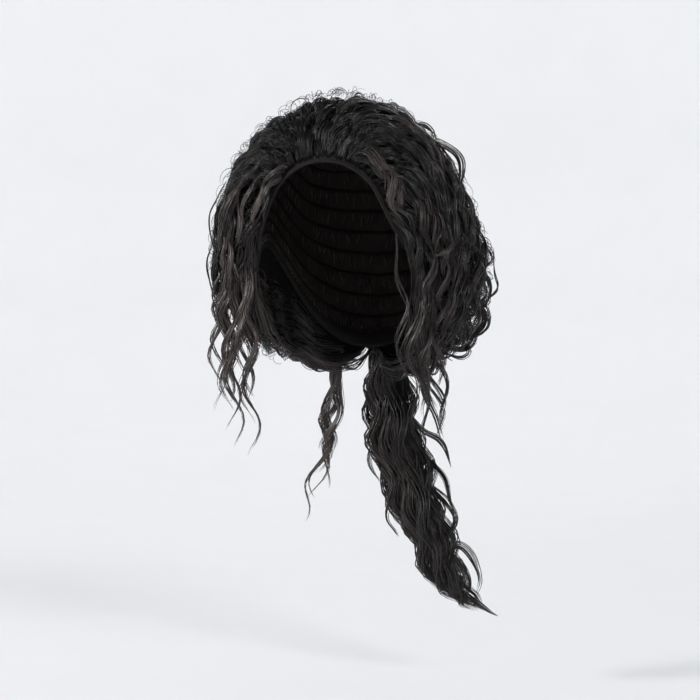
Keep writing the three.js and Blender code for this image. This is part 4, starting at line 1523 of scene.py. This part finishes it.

# %% [markdown]
# ## Flicked-out locks of the tail
# The tail isn't a smooth brush: locks leave its edge, swing out and come back, and its tips flick
# towards the wearer's left. They are placed one by one as the curls on the outline were, with the same
# function, because they give the tail its outline. Then the whole tail becomes one piece.

# %% Flicked-out locks and the piece
TAIL_FLIPS = [
    {"y": 116, "girth": 2.4, "fibres": 26,
     "stops": [(20, -242), (34, -256), (46, -263), (54, -272), (58, -286)]},
    {"y": 112, "girth": 3.2, "fibres": 30,
     "stops": [(26, -264), (38, -278), (50, -291), (57, -308), (63, -326)]},
    {"y": 120, "girth": 3.4, "fibres": 32,
     "stops": [(24, -292), (40, -306), (54, -315), (60, -328), (55, -342), (44, -354)]},
    {"y": 116, "girth": 3.8, "fibres": 36,
     "stops": [(34, -342), (52, -352), (66, -352), (78, -363), (81, -382), (74, -402)]},
    {"y": 124, "girth": 3.0, "fibres": 28,
     "stops": [(42, -350), (56, -361), (67, -370), (70, -387), (63, -405)]},
    {"y": 121, "girth": 2.6, "fibres": 26,
     "stops": [(54, -380), (70, -396), (84, -404), (97, -412)]},
    {"y": 128, "girth": 2.4, "fibres": 22,
     "stops": [(8, -236), (-10, -258), (-18, -280), (-8, -302)]},
    {"y": 126, "girth": 2.4, "fibres": 22,
     "stops": [(20, -296), (4, -314), (-1, -332), (10, -348)]},
]
TAIL_SEED = 31

rng = np.random.default_rng(TAIL_SEED)
tail = [tail_fibres(rng, index) for index in range(TAIL_LOCKS)]
tail += [gathered_lock(rng, index) for index in range(ROOT_LOCKS)]
tail += [curled_lock(rng, index, row) for index, row in enumerate(TAIL_FLIPS)]
place_on_map(tail, 0, 1)
mesh_piece("ponytail_fibres", "ponytail", tail, [hair_fibre], [SHINY] * len(tail))

# %% [markdown]
# ## Net and ribbon
# The hair is sewn on a cap of knitted nylon net, and a woven polyester ribbon is folded round its
# rim. Both are matt: yarn scatters light, so they show by their threads and not by a shine. A picture
# of a net would not keep its scale, so the threads are two sine waves on lengths measured along the
# cap. Real meshes are about 1 mm wide and ribbon ribs 0.4 mm, too fine to show from here, so both are
# drawn about twice as coarse.

# %% Net and ribbon materials
NET_PITCH = 1.8
RIBBON_RIB = 0.9
RIBBON_FLOAT = 6.0
WEAR_PATCH = 12.5
WEAR_DETAIL = 3.0
TEXTILE_SPECULAR = 0.2
TEXTILE_BUMP = 0.6
NYLON_IOR = 1.53
POLYESTER_IOR = 1.57


def textile(name, ior, roughness, dark, light, pitches, relief):
    """A matt textile with a raised pattern of threads, from pitches in mm across and along it."""
    material, tree = new_material(name)
    lines = add_node(tree, "ShaderNodeAttribute", {"attribute_name": "comb"})
    split = add_node(tree, "ShaderNodeSeparateXYZ", Vector=lines.outputs["Vector"])
    waves = []
    for way, pitch in zip("XY", pitches):
        turns = add_node(
            tree,
            "ShaderNodeMath",
            {"operation": "MULTIPLY"},
            i0=split.outputs[way],
            i1=2 * np.pi / pitch,
        )
        waves.append(add_node(tree, "ShaderNodeMath", {"operation": "SINE"}, i0=turns.outputs["Value"]))
    threads = add_node(
        tree,
        "ShaderNodeMath",
        {"operation": "MULTIPLY"},
        i0=waves[0].outputs["Value"],
        i1=waves[1].outputs["Value"],
    )
    height = add_node(
        tree, "ShaderNodeMapRange", Value=threads.outputs["Value"], From_Min=-1.0, From_Max=1.0
    )
    wear = add_node(
        tree,
        "ShaderNodeTexNoise",
        Vector=lines.outputs["Vector"],
        Scale=1 / WEAR_PATCH,
        Detail=WEAR_DETAIL,
    )
    worn_and_groove_shade = add_node(
        tree,
        "ShaderNodeMath",
        {"operation": "MULTIPLY"},
        i0=height.outputs["Result"],
        i1=wear.outputs["Fac"],
    )
    # Painted shade: the colour is darker down in the grooves between threads, and in patches of wear.
    colour = add_node(tree, "ShaderNodeValToRGB", Fac=worn_and_groove_shade.outputs["Value"])
    for stop, shade in zip(colour.color_ramp.elements, (dark, light)):
        stop.color = linear(shade)
    bump = add_node(
        tree,
        "ShaderNodeBump",
        Strength=TEXTILE_BUMP,
        Distance=relief * MM,
        Height=height.outputs["Result"],
    )
    shader = add_node(
        tree,
        "ShaderNodeBsdfPrincipled",
        Base_Color=colour.outputs["Color"],
        Roughness=roughness,
        IOR=ior,
        Specular_IOR_Level=TEXTILE_SPECULAR,
        Normal=bump.outputs["Normal"],
    )
    add_node(tree, "ShaderNodeOutputMaterial", Surface=shader.outputs["BSDF"])
    return material


# Knitting leaves raised loops with openings between them, in a warm black. Its colour darkens into
# the openings: partly the dark hair seen through them, partly painted shade on the sides of the loops.
nylon_net = textile(
    "knitted_nylon_net",
    ior=NYLON_IOR,
    roughness=0.85,
    dark="#0b0908",
    light="#3a322d",
    pitches=(NET_PITCH, NET_PITCH),
    relief=0.4,
)
# Weaving packs the yarn tight: fine close ribs on a dark brown that is nearly black, with a painted
# shade in the grooves between the ribs.
ribbon = textile(
    "woven_polyester_ribbon",
    ior=POLYESTER_IOR,
    roughness=0.75,
    dark="#070505",
    light="#15100d",
    pitches=(RIBBON_RIB, RIBBON_FLOAT),
    relief=0.2,
)
print("net pitch in mm:", NET_PITCH)

# %% [markdown]
# ## Net cap
# The cap fits the head from the crown down to its rim and shows only from inside. A sphere could be
# cut and shrunk on the head, but rows that follow the rim keep the knit in line with it. So a point
# on the cap is a turn round the head and a share of the way from the crown to the rim, and the net is
# a skin of two faces with its wall between them.

# %% Cap
CAP_WALL = 1.6
CAP_COLUMNS = 96
CAP_ROWS = 22
CAP_TOP = 0.02
CAP_ROUND = 530
CAP_DEPTH = 160
NET_TONE = 0.2
NET_MAP_START = 0.5


def cap_point(turn, share, lift):
    """Place on the cap: a turn in degrees, a share of the way to the rim and a height over the head."""
    turn, share, lift = np.broadcast_arrays(np.asarray(turn, float), share, lift)
    outward = np.stack([np.sin(np.radians(turn)), -np.cos(np.radians(turn))], axis=-1)
    rim_level = HEAD_ABOVE - rim_drop(turn)
    slim = np.sqrt(1 - (rim_level / np.where(rim_level > 0, HEAD_ABOVE, HEAD_BELOW)) ** 2)
    rim_reach = slim / np.hypot(outward[..., 0] / HEAD_HALF_WIDTH, outward[..., 1] / HEAD_HALF_LENGTH)
    tilt = share * np.arctan2(rim_reach, rim_level)
    direction = np.concatenate([outward * np.sin(tilt)[..., None], np.cos(tilt)[..., None]], axis=-1)
    reach = reach_head(HEAD_CENTRE, direction) + lift
    return HEAD_CENTRE + direction * reach[..., None]


def cap_comb(turn, share):
    """Lengths in mm round and down the cap, for the patterns."""
    turn, share = np.broadcast_arrays(turn, share)
    return np.stack([turn * CAP_ROUND / 360, share * CAP_DEPTH], axis=-1)


round_turns = np.linspace(0, 360, CAP_COLUMNS, endpoint=False)
down = np.linspace(CAP_TOP, 1, CAP_ROWS)
shares = np.concatenate([down, down[::-1]])[:, None]
lifts = np.repeat([0.0, CAP_WALL], CAP_ROWS)[:, None]
net_rings = cap_point(round_turns[None], shares, lifts)
net_comb = cap_comb(round_turns[None], shares)
net_skin = skin_block(net_rings, False, net_comb, NET_TONE, (0, NET_MAP_START), (1, 1))
print("points of the net:", len(net_skin["points"]))

# %% [markdown]
# ## Ribbon and wefts
# The ribbon is folded over the rim, so it shows inside the cap and below the hair at the forehead.
# Above it, rows of wefts run round the net: strips of hair sewn together at their heads. Both are
# closed bands with a small section, carried round the cap by the same function, where a bevelled
# curve would not keep its face flat on the net.

# %% Ribbon and weft bands
RIBBON_SECTION = [
    {"share": 0.945, "lift": -0.1},
    {"share": 0.95, "lift": -0.7},
    {"share": 0.998, "lift": -0.7},
    {"share": 1.008, "lift": 0.7},
    {"share": 1.0, "lift": 1.8},
    {"share": 0.98, "lift": 1.8},
]
WEFT_SECTION = [
    {"share": -0.007, "lift": 0.3},
    {"share": -0.006, "lift": -0.8},
    {"share": 0.006, "lift": -0.8},
    {"share": 0.007, "lift": 0.3},
]
WEFT_ROWS = np.linspace(0.14, 0.9, 11)
BAND_TONE = 0.1
BAND_MAP = (0.44, 0.495)
RIBBON_MAP_WIDTH = 0.16
WEFT_MAP_START = 0.2
WEFT_MAP_STEP = 0.07
WEFT_MAP_WIDTH = 0.065


def band_round_cap(section, at, map_left, map_width):
    """A closed band with a small section that runs round the cap."""
    shares = at + np.array([row["share"] for row in section])[None]
    lifts = np.array([row["lift"] for row in section])[None]
    rings = cap_point(round_turns[:, None], shares, lifts)
    comb = cap_comb(round_turns[:, None], shares)
    map_low, map_high = (map_left, BAND_MAP[0]), (map_left + map_width, BAND_MAP[1])
    return skin_block(rings, True, comb, BAND_TONE, map_low, map_high)


ribbon_band = band_round_cap(RIBBON_SECTION, 0, 0, RIBBON_MAP_WIDTH)
weft_bands = [
    band_round_cap(WEFT_SECTION, at, WEFT_MAP_START + WEFT_MAP_STEP * k, WEFT_MAP_WIDTH)
    for k, at in enumerate(WEFT_ROWS)
]
print("weft rows:", len(weft_bands))

# %% [markdown]
# ## Sewing inside the cap
# Along every weft the hair is folded back under the seam, so short ends lie on the net below it.
# The ribbon is held by a slanting overlock stitch. A bump pattern would do from afar, but both stand
# clear of the net, so they are tiny closed fibres, made as the hair is. Then the cap becomes one
# piece.

# %% Weft ends, stitches and the piece
RETURNS_IN_ROW = 130
RETURN_RADIUS = 0.4
RETURN_SLANT = (-3, 3)
RETURN_LENGTH = (0.035, 0.075)
RETURN_LIMIT = 0.99
RETURN_SINK = 0.5
RETURN_TONES = (0.1, 0.5)
STITCHES = 210
STITCH_START = 0.935
STITCH_LENGTH = 0.025
STITCH_SLANT = 1.1
STITCH_BULGE = 0.35
STITCH_RADIUS = 0.3
STITCH_TONE = 0.45
SEWN_LIFT = -0.7
SEWN_STATIONS = 4
SEWN_MAP_END = 0.43
SEWING_SEED = 47

rng = np.random.default_rng(SEWING_SEED)
t = np.linspace(0, 1, SEWN_STATIONS)
size = (RETURNS_IN_ROW, 1)
sewn = []
for at in WEFT_ROWS:
    turn = rng.uniform(0, 360, size) + rng.uniform(*RETURN_SLANT, size) * t
    share = at + rng.uniform(*RETURN_LENGTH, size) * t
    lines = cap_point(turn, np.minimum(share, RETURN_LIMIT), SEWN_LIFT + RETURN_SINK * t)
    radii = wisp_radii(rng, RETURNS_IN_ROW, SEWN_STATIONS, RETURN_RADIUS)
    sewn.append(spindles(lines, radii, rng.uniform(*RETURN_TONES, RETURNS_IN_ROW)))
turn = np.arange(STITCHES)[:, None] * 360 / STITCHES + STITCH_SLANT * t
stitch_lift = SEWN_LIFT - STITCH_BULGE * np.sin(np.pi * t)
lines = cap_point(turn, STITCH_START + STITCH_LENGTH * t, stitch_lift)
radii = wisp_radii(rng, STITCHES, SEWN_STATIONS, STITCH_RADIUS)
sewn.append(spindles(lines, radii, np.full(STITCHES, STITCH_TONE)))
place_on_map(sewn, 0, SEWN_MAP_END)

cap_materials = [nylon_net, ribbon, hair_fibre, matted_fibre]
NET, RIBBON, SEWN, WEFT = range(len(cap_materials))
blocks = [net_skin, ribbon_band, *sewn, *weft_bands]
finishes = [NET, RIBBON] + [SEWN] * len(sewn) + [WEFT] * len(weft_bands)
mesh_piece("sewn_cap", "cap", blocks, cap_materials, finishes)

# %% [markdown]
# ## Hair tie
# The ponytail is held by a round elastic: a rubber core covered with a braid of polyester yarn. A
# plain ring would look moulded, so three covered cords are laid round each other like a rope and
# closed on themselves. Braiding gives a dull black with a fine slanting relief. The yarn is drawn at
# about twice its real width, so that it shows.

# %% Hair tie
TIE_RADIUS = 15.35
TIE_CORD = 3
TIE_PLIES = 3
TIE_TWISTS = 11
PLY_RADIUS = 1.6
PLY_STATIONS = 210
PLY_SIDES = 7
PLY_YARN = 0.9
PLY_TONE = 0.1
PLY_MAP_FILL = 0.97

# Painted shade: the braid's colour darkens down into the grooves between its yarns.
braided_elastic = textile(
    "braided_polyester_elastic",
    ior=POLYESTER_IOR,
    roughness=0.75,
    dark="#08080a",
    light="#2c2c30",
    pitches=(PLY_YARN, PLY_YARN),
    relief=0.3,
)
round_tie = np.linspace(0, 2 * np.pi, PLY_STATIONS, endpoint=False)[:, None]
around = np.linspace(0, 2 * np.pi, PLY_SIDES, endpoint=False)[None, :, None]
spokes = np.cos(round_tie) * COMB_SIDE + np.sin(round_tie) * COMB_UP
yarn = np.stack(np.broadcast_arrays(PLY_RADIUS * around[..., 0], TIE_RADIUS * round_tie), axis=-1)
plies = []
for k in range(TIE_PLIES):
    lay = TIE_TWISTS * round_tie + 2 * np.pi * k / TIE_PLIES
    reach = TIE_RADIUS + (TIE_CORD - PLY_RADIUS) * np.cos(lay)
    rise = (TIE_CORD - PLY_RADIUS) * np.sin(lay)
    middle = TIE_SEAT + reach * spokes + rise * COMB_AXIS
    ahead = unit(np.roll(middle, -1, axis=0) - np.roll(middle, 1, axis=0))
    inward = unit(np.cross(ahead, COMB_AXIS))
    upright = np.cross(inward, ahead)
    spread = np.cos(around) * inward[:, None] + np.sin(around) * upright[:, None]
    rings = middle[:, None] + PLY_RADIUS * spread
    left = k / TIE_PLIES
    plies.append(skin_block(rings, True, yarn, PLY_TONE, (left, 0), (left + PLY_MAP_FILL / TIE_PLIES, 1)))
mesh_piece("braided_tie", "hair_tie", plies, [braided_elastic], [0] * TIE_PLIES)
